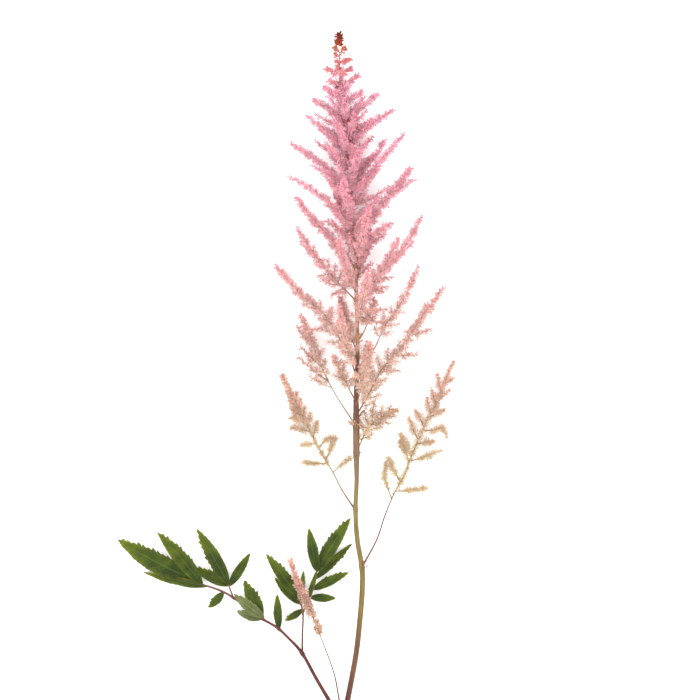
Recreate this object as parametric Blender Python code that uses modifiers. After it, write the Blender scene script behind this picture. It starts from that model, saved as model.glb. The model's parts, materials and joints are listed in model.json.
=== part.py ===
# Cut flower stem of an astilbe, lying on a flat surface.
# The plume points along +Y, the cut end along -Y, and +Z is up from the surface.
# Tables below are in millimetres: X to the right of the plume's foot, Y from the cut end
# towards the tip, Z above the surface. The finished plant is moved so that the middle of
# its underside is at the origin.

import math

import bmesh
import bpy
from mathutils import Vector

MM = 0.001

# Driving sizes in millimetres
GAP = 0.3
LEAFLET_THICKNESS = 0.4
LEAFLET_FOOT = 0.5
BRANCH_STALK = 0.8
SIDE_RACEME = 2.2
SHOOT_STALK = 0.7
START_STEP = 0.05
FRAME_EMPTY_SIZE = 20.0

# Shape of a spray along its stalk, as shares of its length and of its fullest radius
PLUME_BARE_SHARE = 0.12
SPRAY_SWELL_LENGTH = 0.22
SPRAY_TIP_THINNING = 0.62
SPRAY_THINS_FROM = 0.5
RACEME_FIRST_PHASE = 0.15
RACEME_PHASE_SPAN = 0.7
RACEME_END_FULLNESS = 0.45

# Outline of a leaflet: where it is widest, and how blunt it is
LEAFLET_WIDEST_POWER = 0.8
LEAFLET_BLUNT_POWER = 0.85

# Branches that leave the stem above this height carry pink flowers, the others blush ones
PINK_FROM_HEIGHT = 325.0

# How finely a piece is divided
STEM_STATIONS = 30
BRANCH_STATIONS = 9
LONG_BRANCH_STATIONS = 14
RACEME_STATIONS = 5
LEAF_MAIN_STATIONS = 18
LEAF_SIDE_STATIONS = 7
LEAF_FORK_STATIONS = 6
LEAF_TWIG_STATIONS = 4
SMOOTHING_STEPS = 24
ROUND_RESOLUTION = 2

# Lengths too short to matter, in millimetres
NO_LENGTH = 1e-6
WELD_DISTANCE = 0.01

# Middle line and radius of the flowering stem: x, y, z, radius
STEM_LINE = [
    (-13.0, 0.0, 2.1, 2.1),
    (-10.6, 20.0, 3.0, 2.0),
    (-9.2, 31.0, 3.6, 2.7),
    (-7.6, 41.0, 4.1, 2.0),
    (-5.6, 50.0, 4.6, 1.95),
    (-0.1, 80.0, 6.2, 1.95),
    (2.7, 105.0, 7.6, 1.95),
    (4.3, 125.0, 8.8, 1.95),
    (4.2, 141.0, 9.8, 1.9),
    (0.9, 161.0, 11.0, 1.75),
    (-0.4, 182.0, 12.3, 1.65),
    (0.4, 203.0, 13.7, 1.65),
    (0.1, 232.0, 15.6, 2.3),
    (0.0, 259.0, 17.4, 1.6),
    (1.0, 294.0, 19.3, 1.3),
    (0.1, 336.0, 20.6, 1.1),
    (-0.7, 371.0, 20.4, 1.0),
    (-2.8, 399.0, 19.4, 0.9),
    (-4.9, 430.0, 17.4, 0.8),
    (-7.0, 455.0, 15.2, 0.7),
    (-9.1, 465.7, 14.1, 0.65),
]

# Spire above the last of the long branches, with its own small racemes: x, y, z, radius
TOP_LINE = [
    (-9.1, 466.0, 14.0, 0.65),
    (-9.7, 469.0, 13.7, 5.0),
    (-10.1, 474.0, 13.2, 9.5),
    (-10.6, 481.0, 12.6, 8.0),
    (-11.2, 490.0, 11.7, 6.0),
    (-11.7, 499.0, 10.9, 4.2),
    (-11.9, 507.0, 10.2, 3.4),
    (-11.9, 513.0, 9.7, 3.2),
    (-11.9, 517.3, 9.3, 1.2),
]

# Flowering branches of the plume: height on the stem, radius of the flowers, then points
PLUME_BRANCHES = {
    "plume_right_01": (222.0, 3.6, [(8.4, 239.0, 13.0), (18.0, 247.0, 9.0), (30.0, 252.0, 0.0)]),
    "plume_right_02": (
        248.0,
        4.2,
        [
            (7.7, 261.0, 17.0),
            (18.7, 281.5, 16.0),
            (32.2, 296.0, 12.0),
            (44.8, 315.0, 8.0),
            (62.4, 338.6, 0.0),
        ],
    ),
    "plume_right_03": (
        281.0,
        4.2,
        [(12.6, 295.0, 25.0), (20.2, 311.0, 29.0), (32.4, 328.0, 31.0), (43.8, 353.0, 33.0)],
    ),
    "plume_right_04": (300.0, 3.2, [(6.5, 309.0, 18.0), (13.3, 331.0, 13.0)]),
    "plume_right_05": (322.0, 4.2, [(7.5, 333.0, 27.0), (19.5, 351.4, 35.0), (29.8, 372.0, 41.0)]),
    "plume_right_06": (
        329.0,
        4.2,
        [(11.0, 342.0, 17.0), (23.8, 355.6, 13.0), (36.4, 370.0, 9.0), (46.9, 389.5, 0.0)],
    ),
    "plume_right_07": (360.0, 3.0, [(8.0, 370.0, 25.0), (25.0, 382.6, 31.0)]),
    "plume_right_08": (371.0, 4.0, [(14.0, 391.0, 17.0), (26.6, 405.7, 12.0), (39.1, 422.9, 0.0)]),
    "plume_right_09": (392.0, 3.6, [(12.6, 420.0, 24.0), (25.2, 434.5, 28.0), (34.7, 445.2, 31.0)]),
    "plume_right_10": (408.0, 3.0, [(6.0, 422.0, 15.0), (15.5, 433.0, 12.0), (20.3, 442.0, 10.0)]),
    "plume_right_11": (438.0, 3.0, [(9.8, 451.5, 16.0), (27.3, 462.4, 14.0)]),
    "plume_right_12": (454.0, 2.4, [(1.0, 461.5, 17.0), (16.2, 473.3, 19.0)]),
    "plume_left_01": (
        241.0,
        4.2,
        [(-14.4, 263.0, 13.0), (-24.6, 283.0, 10.0), (-32.2, 302.7, 7.0), (-39.9, 319.2, 0.0)],
    ),
    "plume_left_02": (258.0, 3.8, [(-6.5, 270.0, 23.0), (-16.0, 291.0, 30.0)]),
    "plume_left_03": (
        288.0,
        4.2,
        [(-9.0, 298.0, 18.0), (-20.7, 317.3, 15.0), (-38.2, 332.5, 9.0), (-57.5, 354.5, 0.0)],
    ),
    "plume_left_04": (328.0, 4.2, [(-15.0, 343.8, 24.0), (-29.8, 361.3, 28.0), (-41.6, 380.0, 31.0)]),
    "plume_left_05": (351.0, 4.2, [(-19.0, 374.0, 15.0), (-32.9, 388.2, 10.0), (-42.2, 402.3, 0.0)]),
    "plume_left_06": (378.0, 4.0, [(-12.0, 391.0, 23.0), (-29.1, 404.6, 27.0), (-47.2, 414.8, 30.0)]),
    "plume_left_07": (400.0, 3.6, [(-18.0, 419.0, 15.0), (-30.9, 428.9, 10.0), (-46.6, 440.1, 0.0)]),
    "plume_left_08": (432.0, 2.6, [(-20.3, 447.0, 19.0), (-36.0, 457.3, 22.0)]),
    "plume_left_09": (453.0, 2.4, [(-16.0, 461.5, 12.0), (-31.2, 469.7, 9.0)]),
    "plume_upper_01": (254.0, 3.8, [(5.0, 274.0, 38.0), (10.0, 300.0, 58.0)]),
    "plume_upper_02": (275.0, 4.0, [(-7.0, 298.0, 41.0), (-12.0, 325.0, 61.0)]),
    "plume_upper_03": (306.0, 4.0, [(4.0, 326.0, 42.0), (9.0, 350.0, 59.0)]),
    "plume_upper_04": (333.0, 4.0, [(-7.0, 351.0, 41.0), (-12.0, 371.0, 55.0)]),
    "plume_upper_05": (352.0, 3.8, [(4.0, 371.0, 38.0), (9.0, 391.0, 50.0)]),
    "plume_upper_06": (380.0, 3.6, [(-6.0, 396.0, 34.0), (-9.0, 412.0, 44.0)]),
    "plume_upper_07": (403.0, 3.2, [(-2.0, 418.0, 30.0), (3.0, 433.0, 38.0)]),
    "plume_upper_08": (428.0, 2.8, [(-9.0, 440.0, 24.0), (-13.0, 452.0, 30.0)]),
    "plume_under_01": (266.0, 3.6, [(5.0, 278.0, 9.0), (9.0, 300.0, 0.0)]),
    "plume_under_02": (292.0, 3.6, [(-5.0, 308.0, 9.0), (-11.0, 332.0, 0.0)]),
    "plume_under_03": (340.0, 3.6, [(4.0, 358.0, 9.0), (10.0, 380.0, 0.0)]),
    "plume_under_04": (366.0, 3.4, [(-7.0, 385.0, 9.0), (-15.0, 405.0, 0.0)]),
    "plume_under_05": (415.0, 2.8, [(-6.0, 430.0, 8.0), (-10.0, 448.0, 0.0)]),
}

# The two branches below the plume: height on the stem, radius of the flowers, points,
# and side racemes as share of the branch, then tip
LOWER_BRANCHES = {
    "lower_left_branch": (
        182.0,
        3.4,
        0.42,
        [
            (-9.2, 195.0, 12.0),
            (-16.1, 208.2, 11.0),
            (-25.0, 223.4, 9.0),
            (-34.8, 242.1, 6.5),
            (-43.6, 258.8, 3.4),
            (-52.5, 276.5, 0.0),
        ],
        [
            (0.34, (-36.0, 214.5, 8.0)),
            (0.33, (-3.4, 219.5, 13.0)),
            (0.50, (-15.1, 232.0, 10.0)),
            (0.56, (-46.6, 239.2, 2.2)),
        ],
    ),
    "lower_right_branch": (
        141.8,
        3.4,
        0.52,
        [
            (14.4, 160.8, 10.0),
            (20.2, 177.8, 10.5),
            (26.6, 193.2, 10.5),
            (34.0, 206.7, 9.5),
            (39.3, 220.5, 8.0),
            (49.7, 244.0, 6.0),
            (57.5, 257.8, 4.2),
            (65.4, 279.4, 1.5),
            (69.3, 286.8, 0.0),
        ],
        [
            (0.40, (49.6, 197.4, 6.0)),
            (0.42, (21.6, 216.0, 8.0)),
            (0.58, (31.0, 235.2, 6.0)),
            (0.54, (59.5, 223.4, 5.0)),
            (0.66, (62.5, 240.0, 2.2)),
        ],
    ),
}

# Small flowering shoot out of the leaf's axil
SHOOT_ROOT = 36.0
SHOOT_LINE = [
    (-11.8, 49.4, 11.5),
    (-15.5, 68.6, 16.5),
    (-24.7, 94.5, 22.0),
    (-31.2, 111.0, 24.5),
    (-40.1, 132.0, 26.0),
    (-46.2, 148.3, 26.5),
]
SHOOT_FLOWERS = 2.4
SHOOT_BARE_SHARE = 0.56

# Stalk of the leaf: x, y, z, radius. It leaves the stem at the node and forks once; the
# short fork parts in two, and the long one has a twig that carries three leaflets.
LEAF_ROOT = 31.0
LEAF_ROOT_RADIUS = 1.35
LEAF_MAIN_STALK = [
    (-20.0, 49.7, 4.6, 1.25),
    (-28.1, 63.7, 6.2, 1.15),
    (-37.7, 81.1, 7.4, 1.1),
    (-46.9, 91.4, 7.4, 0.9),
    (-55.7, 99.4, 7.0, 0.85),
    (-67.8, 106.6, 6.4, 0.8),
    (-85.2, 119.4, 5.8, 0.7),
    (-95.6, 125.2, 5.4, 0.65),
    (-109.6, 129.8, 5.0, 0.6),
    (-116.2, 133.0, 4.8, 0.5),
]
LEAF_SIDE_STALK = [
    (-37.7, 81.1, 7.4, 0.75),
    (-37.6, 94.0, 7.8, 0.7),
    (-37.3, 110.0, 7.6, 0.6),
    (-41.0, 122.0, 7.2, 0.45),
]
LEAF_TWIG = [
    (-86.1, 120.0, 5.8, 0.5),
    (-88.0, 125.0, 6.1, 0.45),
    (-89.4, 129.3, 6.3, 0.4),
]
LEAF_SIDE_FORK = [
    (-37.3, 110.0, 7.6, 0.55),
    (-32.4, 120.0, 7.4, 0.5),
    (-28.9, 130.0, 7.2, 0.45),
    (-27.3, 139.0, 7.0, 0.4),
]

# Leaflets: foot on the stalk, tip, half width, roll about the midrib in degrees, arch
LEAFLETS = {
    "leaflet_01": ((-115.8, 132.9, 4.8), (-168.6, 161.0, 0.0), 7.4, 6.0, 2.4),
    "leaflet_02": ((-108.0, 129.3, 5.1), (-140.0, 167.0, 8.0), 5.2, -12.0, 2.5),
    "leaflet_03": ((-104.5, 128.0, 5.2), (-150.2, 134.4, 0.2), 2.9, 50.0, 0.3),
    "leaflet_04": ((-89.2, 128.8, 6.3), (-114.6, 141.0, 0.0), 4.0, 8.0, 0.8),
    "leaflet_05": ((-89.4, 129.3, 6.3), (-112.1, 169.4, 8.0), 5.0, -14.0, 3.0),
    "leaflet_06": ((-89.0, 128.4, 6.3), (-74.3, 151.4, 1.5), 3.3, -10.0, 1.5),
    "leaflet_07": ((-93.0, 123.9, 5.5), (-104.0, 112.5, 0.0), 3.0, 5.0, 1.0),
    "leaflet_08": ((-66.0, 105.4, 6.5), (-84.5, 104.0, 0.5), 3.4, 10.0, 1.0),
    "leaflet_09": ((-66.0, 105.8, 6.5), (-78.8, 132.0, 2.5), 5.0, -12.0, 2.5),
    "leaflet_10": ((-54.0, 98.0, 7.1), (-55.4, 122.5, 3.0), 3.0, 12.0, 1.5),
    "leaflet_11": ((-37.4, 112.0, 7.5), (-49.8, 103.4, 1.0), 2.6, 12.0, 1.0),
    "leaflet_12": ((-41.0, 122.0, 7.2), (-63.4, 151.1, 6.0), 4.4, -14.0, 2.5),
    "leaflet_13": ((-38.9, 115.8, 7.3), (-57.5, 134.0, 0.8), 3.2, 10.0, 0.8),
    "leaflet_14": ((-38.6, 114.8, 7.4), (-36.8, 139.0, 3.0), 2.3, 0.0, 1.0),
    "leaflet_15": ((-27.6, 138.9, 7.0), (-33.2, 169.8, 9.0), 3.8, -6.0, 2.2),
    "leaflet_16": ((-27.2, 138.6, 7.0), (-3.4, 176.6, 3.4), 4.4, 14.0, 2.4),
    "leaflet_17": ((-28.2, 133.6, 7.2), (-2.6, 157.9, 0.0), 2.9, 0.0, 0.4),
    "leaflet_18": ((-30.2, 126.0, 7.3), (-4.9, 137.6, 1.0), 3.4, 10.0, 1.2),
    "leaflet_19": ((-32.2, 120.5, 7.4), (-14.0, 119.4, 1.5), 2.9, 8.0, 1.2),
}
LEAFLET_CELLS_ALONG = 8
LEAFLET_CELLS_ACROSS = 2
LEAFLET_FOLD_DEGREES = 13.0
LEAFLET_FLOOR = 0.2

# Finish: colour and roughness
FINISHES = {
    "stem_bark": ((0.42, 0.30, 0.15, 1.0), 0.45),
    "leaf_stalk_red": ((0.34, 0.09, 0.06, 1.0), 0.45),
    "leaf_green": ((0.16, 0.26, 0.06, 1.0), 0.5),
    "flower_pink": ((0.86, 0.42, 0.50, 1.0), 0.8),
    "flower_blush": ((0.82, 0.58, 0.48, 1.0), 0.8),
    "bud_brown": ((0.50, 0.16, 0.12, 1.0), 0.7),
}


def clear_scene():
    for old in list(bpy.data.objects):
        bpy.data.objects.remove(old, do_unlink=True)


def new_collection(name, is_hidden=False):
    made = bpy.data.collections.new(name)
    made.hide_render = is_hidden
    bpy.context.scene.collection.children.link(made)
    return made


def new_material(name):
    colour, roughness = FINISHES[name]
    made = bpy.data.materials.new(name)
    made.use_nodes = True
    shader = made.node_tree.nodes["Principled BSDF"]
    shader.inputs["Base Color"].default_value = colour
    shader.inputs["Roughness"].default_value = roughness
    shader.inputs["Metallic"].default_value = 0.0
    made.diffuse_color = colour
    return made


def smooth_line(points, count):
    # Evenly spaced points on a smooth curve through the given ones, each a tuple of
    # numbers of any length, so that a radius can go along with a place.
    def between(before, start, end, after, share):
        return [
            0.5
            * (
                2 * s
                + (e - b) * share
                + (2 * b - 5 * s + 4 * e - a) * share**2
                + (3 * s - b - 3 * e + a) * share**3
            )
            for b, s, e, a in zip(before, start, end, after)
        ]

    ends = [points[0], *points, points[-1]]
    fine = []
    for i in range(len(points) - 1):
        for k in range(SMOOTHING_STEPS):
            fine.append(between(*ends[i : i + 4], k / SMOOTHING_STEPS))
    fine.append(list(points[-1]))
    lengths = [0.0]
    for a, b in zip(fine, fine[1:]):
        lengths.append(lengths[-1] + math.dist(a[:3], b[:3]))
    line = []
    at = 0
    for k in range(count):
        wanted = lengths[-1] * k / (count - 1)
        while at < len(fine) - 2 and lengths[at + 1] < wanted:
            at += 1
        share = (wanted - lengths[at]) / max(lengths[at + 1] - lengths[at], NO_LENGTH)
        line.append([a + (b - a) * min(share, 1.0) for a, b in zip(fine[at], fine[at + 1])])
    return line


def stations_of(points, count):
    # The same line as pairs of centre and radius.
    return [(Vector(p[:3]), p[3]) for p in smooth_line(points, count)]


def nearest_on(line, point):
    # The place on a tube's middle line that is nearest to a point, and the radius there.
    best = None
    for (start, start_radius), (end, end_radius) in zip(line, line[1:]):
        along = end - start
        share = (point - start).dot(along) / along.length_squared
        share = max(0.0, min(1.0, share))
        centre = start + along * share
        radius = start_radius + (end_radius - start_radius) * share
        if best is None or (point - centre).length < (point - best[0]).length:
            best = (centre, radius)
    return best


def start_outside(line, root, toward, end_radius):
    # Moves from a root on the middle line towards a point, until an end of that radius
    # stands one gap clear of the tube.
    direction = (toward - root).normalized()
    start = root.copy()
    while True:
        centre, radius = nearest_on(line, start)
        away = start - centre
        if away.length > NO_LENGTH:
            facing = abs(away.normalized().dot(direction))
            reach = end_radius * math.sqrt(max(0.0, 1 - facing**2))
            if away.length >= radius + GAP + reach:
                return start
        start += direction * START_STEP


def at_height(line, height):
    # The place on the stem's middle line at a distance from the cut end along Y.
    for (start, _), (end, _) in zip(line, line[1:]):
        if start.y <= height <= end.y:
            return start.lerp(end, (height - start.y) / (end.y - start.y))
    return line[-1][0].copy()


def rise(share, low, high):
    # Goes smoothly from 0 at low to 1 at high.
    share = max(0.0, min(1.0, (share - low) / (high - low)))
    return share * share * (3 - 2 * share)


def spray_radius(share, stalk, flowers, bare_share):
    # A bare stalk, then a slim spindle of flowers that thins out towards the tip.
    swell = rise(share, bare_share, bare_share + SPRAY_SWELL_LENGTH)
    thin = 1 - SPRAY_TIP_THINNING * rise(share, SPRAY_THINS_FROM, 1.0)
    return stalk + (flowers * thin - stalk) * swell


def tube(name, stations, material, collection):
    data = bpy.data.curves.new(name, "CURVE")
    data.dimensions = "3D"
    data.bevel_depth = MM
    data.bevel_resolution = ROUND_RESOLUTION
    data.use_fill_caps = True
    data.materials.append(material)
    spline = data.splines.new("POLY")
    spline.points.add(len(stations) - 1)
    spline.use_smooth = True
    for point, (centre, radius) in zip(spline.points, stations):
        height = max(centre.z, radius)
        point.co = (centre.x * MM, centre.y * MM, height * MM, 1.0)
        point.radius = radius
    made = bpy.data.objects.new(name, data)
    collection.objects.link(made)
    return made


def as_mesh(curve_object, collection):
    # The same tube as a closed mesh, which a Boolean can take.
    name = curve_object.name
    material = curve_object.data.materials[0]
    bpy.context.view_layer.update()
    graph = bpy.context.evaluated_depsgraph_get()
    data = bpy.data.meshes.new_from_object(curve_object.evaluated_get(graph))
    shape = bmesh.new()
    shape.from_mesh(data)
    bmesh.ops.remove_doubles(shape, verts=shape.verts, dist=WELD_DISTANCE * MM)
    bmesh.ops.recalc_face_normals(shape, faces=shape.faces)
    shape.to_mesh(data)
    shape.free()
    data.materials.clear()
    data.materials.append(material)
    bpy.data.objects.remove(curve_object, do_unlink=True)
    made = bpy.data.objects.new(name, data)
    collection.objects.link(made)
    return made


def joined(name, lines, material, plant, helpers):
    # Several tubes grown together into one solid.
    main = as_mesh(tube(name, lines[0], material, plant), plant)
    for number, line in enumerate(lines[1:], 1):
        helper = as_mesh(tube(f"{name}_arm_{number}", line, material, helpers), helpers)
        helper.hide_render = True
        helper.display_type = "WIRE"
        union = main.modifiers.new(f"arm_{number}", "BOOLEAN")
        union.operation = "UNION"
        union.object = helper
    return main


def flowering_line(stem, height, points, flowers, bare_share, count):
    root = at_height(stem, height)
    start = start_outside(stem, root, Vector(points[0]), BRANCH_STALK)
    line = smooth_line([tuple(start), *points], count)
    return [
        (Vector(p), spray_radius(k / (count - 1), BRANCH_STALK, flowers, bare_share))
        for k, p in enumerate(line)
    ]


def plume_branch(name, stem, material, plant):
    height, flowers, points = PLUME_BRANCHES[name]
    stations = flowering_line(stem, height, points, flowers, PLUME_BARE_SHARE, BRANCH_STATIONS)
    return tube(name, stations, material, plant)


def raceme_line(root, tip):
    # A straight side raceme, fullest at its middle.
    stations = []
    for k in range(RACEME_STATIONS):
        share = k / (RACEME_STATIONS - 1)
        fullness = math.sin(math.pi * (RACEME_FIRST_PHASE + RACEME_PHASE_SPAN * share))
        width = RACEME_END_FULLNESS + (1 - RACEME_END_FULLNESS) * fullness
        stations.append((root.lerp(tip, share), SIDE_RACEME * width))
    return stations


def lower_branch(name, stem, material, plant, helpers):
    height, flowers, bare_share, points, racemes = LOWER_BRANCHES[name]
    main = flowering_line(stem, height, points, flowers, bare_share, LONG_BRANCH_STATIONS)
    lines = [main]
    for share, tip in racemes:
        root = main[round(share * (len(main) - 1))][0]
        lines.append(raceme_line(root, Vector(tip)))
    return joined(name, lines, material, plant, helpers)


def axillary_shoot(stem, material, plant):
    root = at_height(stem, SHOOT_ROOT)
    start = start_outside(stem, root, Vector(SHOOT_LINE[0]), SHOOT_STALK)
    line = smooth_line([tuple(start), *SHOOT_LINE], LONG_BRANCH_STATIONS)
    last = LONG_BRANCH_STATIONS - 1
    stations = [
        (Vector(p), spray_radius(k / last, SHOOT_STALK, SHOOT_FLOWERS, SHOOT_BARE_SHARE))
        for k, p in enumerate(line)
    ]
    return tube("axillary_shoot", stations, material, plant)


def blade_half_width(share, widest):
    # An egg-shaped blade with a drawn-out tip.
    body = math.sin(math.pi * share**LEAFLET_WIDEST_POWER) ** LEAFLET_BLUNT_POWER
    return LEAFLET_FOOT + (widest - LEAFLET_FOOT) * body


def leaflet(name, stalks, material, plant):
    foot, tip, half_width, roll, arch = LEAFLETS[name]
    foot = Vector(foot)
    tip = Vector(tip)
    for stalk in stalks:
        centre, radius = nearest_on(stalk, foot)
        if (foot - centre).length < radius + GAP:
            foot = start_outside(stalk, foot, tip, LEAFLET_FOOT)
    along = (tip - foot).normalized()
    across = along.cross(Vector((0, 0, 1))).normalized()
    turn = math.radians(roll)
    normal = across.cross(along)
    side = across * math.cos(turn) + normal * math.sin(turn)
    face = normal * math.cos(turn) - across * math.sin(turn)
    fold = math.tan(math.radians(LEAFLET_FOLD_DEGREES))

    shape = bmesh.new()
    bmesh.ops.create_grid(
        shape,
        x_segments=LEAFLET_CELLS_ALONG,
        y_segments=LEAFLET_CELLS_ACROSS,
        size=1.0,
    )
    for vertex in shape.verts:
        share = (vertex.co.x + 1) / 2
        reach = vertex.co.y * blade_half_width(share, half_width)
        lift = arch * math.sin(math.pi * share) + abs(reach) * fold
        place = foot.lerp(tip, share) + side * reach + face * lift
        place.z = max(place.z, LEAFLET_FLOOR)
        vertex.co = place * MM
    data = bpy.data.meshes.new(name)
    shape.to_mesh(data)
    shape.free()
    data.materials.append(material)
    made = bpy.data.objects.new(name, data)
    plant.objects.link(made)
    thickness = made.modifiers.new("thickness", "SOLIDIFY")
    thickness.thickness = LEAFLET_THICKNESS * MM
    thickness.offset = 0.0
    return made


def set_on_origin(pieces, helpers):
    # An empty carries every piece, and puts the middle of the underside at the origin.
    bpy.context.view_layer.update()
    graph = bpy.context.evaluated_depsgraph_get()
    low = Vector((math.inf, math.inf, math.inf))
    high = -low
    for piece in pieces:
        evaluated = piece.evaluated_get(graph)
        data = evaluated.to_mesh()
        for vertex in data.vertices:
            for axis in range(3):
                low[axis] = min(low[axis], vertex.co[axis])
                high[axis] = max(high[axis], vertex.co[axis])
        evaluated.to_mesh_clear()
    middle = (low + high) / 2
    holder = bpy.data.objects.new("plant_frame", None)
    holder.empty_display_size = FRAME_EMPTY_SIZE * MM
    bpy.context.scene.collection.objects.link(holder)
    holder.location = (-middle.x, -middle.y, -low.z)
    for piece in [*pieces, *helpers.objects]:
        piece.parent = holder


def build_plant():
    clear_scene()
    plant = new_collection("astilbe_stem")
    helpers = new_collection("joined_arms", is_hidden=True)
    finish = {name: new_material(name) for name in FINISHES}

    stem = stations_of(STEM_LINE, STEM_STATIONS)
    pieces = [tube("main_stem", stem, finish["stem_bark"], plant)]
    top = [(Vector(p[:3]), p[3]) for p in TOP_LINE]
    pieces.append(tube("plume_top", top, finish["bud_brown"], plant))
    for name, row in PLUME_BRANCHES.items():
        colour = finish["flower_pink"] if row[0] > PINK_FROM_HEIGHT else finish["flower_blush"]
        pieces.append(plume_branch(name, stem, colour, plant))
    for name in LOWER_BRANCHES:
        pieces.append(lower_branch(name, stem, finish["flower_blush"], plant, helpers))
    pieces.append(axillary_shoot(stem, finish["flower_blush"], plant))

    leaf_start = start_outside(
        stem, at_height(stem, LEAF_ROOT), Vector(LEAF_MAIN_STALK[0][:3]), LEAF_ROOT_RADIUS
    )
    stalks = [
        stations_of([(*leaf_start, LEAF_ROOT_RADIUS), *LEAF_MAIN_STALK], LEAF_MAIN_STATIONS),
        stations_of(LEAF_SIDE_STALK, LEAF_SIDE_STATIONS),
        stations_of(LEAF_SIDE_FORK, LEAF_FORK_STATIONS),
        stations_of(LEAF_TWIG, LEAF_TWIG_STATIONS),
    ]
    pieces.append(joined("leaf_stalk", stalks, finish["leaf_stalk_red"], plant, helpers))
    for name in LEAFLETS:
        pieces.append(leaflet(name, stalks, finish["leaf_green"], plant))
    set_on_origin(pieces, helpers)


build_plant()
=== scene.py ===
import json
import math
import random

import bpy
import numpy as np
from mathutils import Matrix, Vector

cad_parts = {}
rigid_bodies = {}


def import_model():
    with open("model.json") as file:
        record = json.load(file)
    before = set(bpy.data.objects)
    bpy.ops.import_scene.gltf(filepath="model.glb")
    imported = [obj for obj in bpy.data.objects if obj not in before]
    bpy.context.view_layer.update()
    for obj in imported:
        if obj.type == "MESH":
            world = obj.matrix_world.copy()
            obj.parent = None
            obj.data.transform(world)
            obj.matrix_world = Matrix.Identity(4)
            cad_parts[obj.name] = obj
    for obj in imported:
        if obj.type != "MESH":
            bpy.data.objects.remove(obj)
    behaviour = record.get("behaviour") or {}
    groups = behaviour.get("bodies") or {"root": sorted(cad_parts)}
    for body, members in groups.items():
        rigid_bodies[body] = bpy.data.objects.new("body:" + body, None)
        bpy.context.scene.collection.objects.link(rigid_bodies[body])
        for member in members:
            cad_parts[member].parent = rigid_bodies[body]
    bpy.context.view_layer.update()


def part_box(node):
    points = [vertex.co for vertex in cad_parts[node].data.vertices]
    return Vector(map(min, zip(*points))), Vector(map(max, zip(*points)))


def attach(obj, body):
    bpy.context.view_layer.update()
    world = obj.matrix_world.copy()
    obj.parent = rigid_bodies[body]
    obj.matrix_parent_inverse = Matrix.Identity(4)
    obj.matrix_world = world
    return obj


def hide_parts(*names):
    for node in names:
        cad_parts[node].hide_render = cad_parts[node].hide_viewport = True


# Looks of a cut astilbe stem that lies on a pale table, seen from straight above.
# The tables below repeat the part's own lines, in millimetres on one sheet: x to the right of
# the plume's foot, y from the cut end towards the tip, z above the table.

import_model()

mm = 0.001
stemOnSheet = {"middleX": -4.362, "top": 465.82}  # the stem's own box, to find the sheet's corner
stemLow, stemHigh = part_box("main_stem")
sheetCorner = np.array([
    (stemLow.x + stemHigh.x) / 2 - stemOnSheet["middleX"] * mm,
    stemHigh.y - stemOnSheet["top"] * mm,
    0.0,
])
goldenAngle = math.radians(137.508)
upwards = np.array([0.0, 0.0, 1.0])
tableTop = 0.15  # mm, lowest point of a petal or blade that lies on the table
stalkRest = 1.0  # mm, lowest middle of a branch's own stalk
twigRest = 0.9  # mm, lowest middle of a side raceme


# Lines

def smoothLine(points, count):
    # evenly spaced rows on a smooth curve through the given rows
    rows = np.array(points, float)
    padded = np.vstack([rows[0], rows, rows[-1]])
    fine = []
    for i in range(len(rows) - 1):
        before, start, end, after = padded[i:i + 4]
        for share in np.linspace(0, 1, 24, endpoint=False):
            fine.append(0.5 * (
                2 * start
                + (end - before) * share
                + (2 * before - 5 * start + 4 * end - after) * share**2
                + (3 * start - before - 3 * end + after) * share**3
            ))
    fine = np.array(fine + [rows[-1]])
    steps = np.linalg.norm(np.diff(fine[:, :3], axis=0), axis=1)
    lengths = np.concatenate([[0.0], np.cumsum(steps)])
    wanted = np.linspace(0, lengths[-1], count)
    return np.column_stack([np.interp(wanted, lengths, column) for column in fine.T])


def at(line, share):
    # the row at a share of the line's length, between its own rows
    spot = min(max(share, 0.0), 1.0) * (len(line) - 1)
    return np.array([np.interp(spot, range(len(line)), column) for column in line.T])


def atHeight(line, height):
    # the row where the line passes a distance from the cut end
    return np.array([np.interp(height, line[:, 1], column) for column in line.T])


def stemRow(height):
    return int(np.argmin(np.abs(stem[:, 1] - height)))


def nearestShare(line, point):
    gaps = np.linalg.norm(line[:, :3] - np.array(point)[:3], axis=1)
    return float(gaps.argmin()) / (len(line) - 1)


def unit(vector):
    return vector / max(np.linalg.norm(vector), 1e-9)


def directions(line):
    steps = np.gradient(line[:, :3], axis=0)
    return steps / np.linalg.norm(steps, axis=1)[:, None]


def ringFrames(line):
    # side and up of each ring, carried along the line without twist
    along = directions(line)
    side = unit(np.cross(along[0], upwards))
    sides = []
    for step in along:
        side = unit(side - step * side.dot(step))
        sides.append(side)
    sides = np.array(sides)
    return along, sides, np.cross(sides, along)


# Meshes

def newShape():
    return {"points": [], "faces": [], "slots": [], "marks": {}}


def addTo(shape, points, faces, slot=0, **marks):
    # adds points and faces, with one number or one list for each mark
    first = len(shape["points"])
    shape["points"] += [tuple(p) for p in points]
    shape["faces"] += [tuple(first + i for i in face) for face in faces]
    shape["slots"] += [slot] * len(faces) if isinstance(slot, int) else list(slot)
    for name in {**shape["marks"], **marks}:
        values = shape["marks"].setdefault(name, [0.0] * first)
        given = marks.get(name, 0.0)
        values += list(given) if np.ndim(given) else [float(given)] * len(points)


def meshOf(name, shape, onSheet=True):
    points = np.array(shape["points"], float) * mm
    if onSheet:
        points = points + sheetCorner
    data = bpy.data.meshes.new(name)
    data.from_pydata(points.tolist(), [], shape["faces"])
    data.polygons.foreach_set("material_index", shape["slots"])
    data.shade_smooth()
    for mark, values in shape["marks"].items():
        layer = data.attributes.new(mark, "FLOAT", "POINT")
        layer.data.foreach_set("value", np.array(values, np.float32))
    data.update()
    return data


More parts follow.
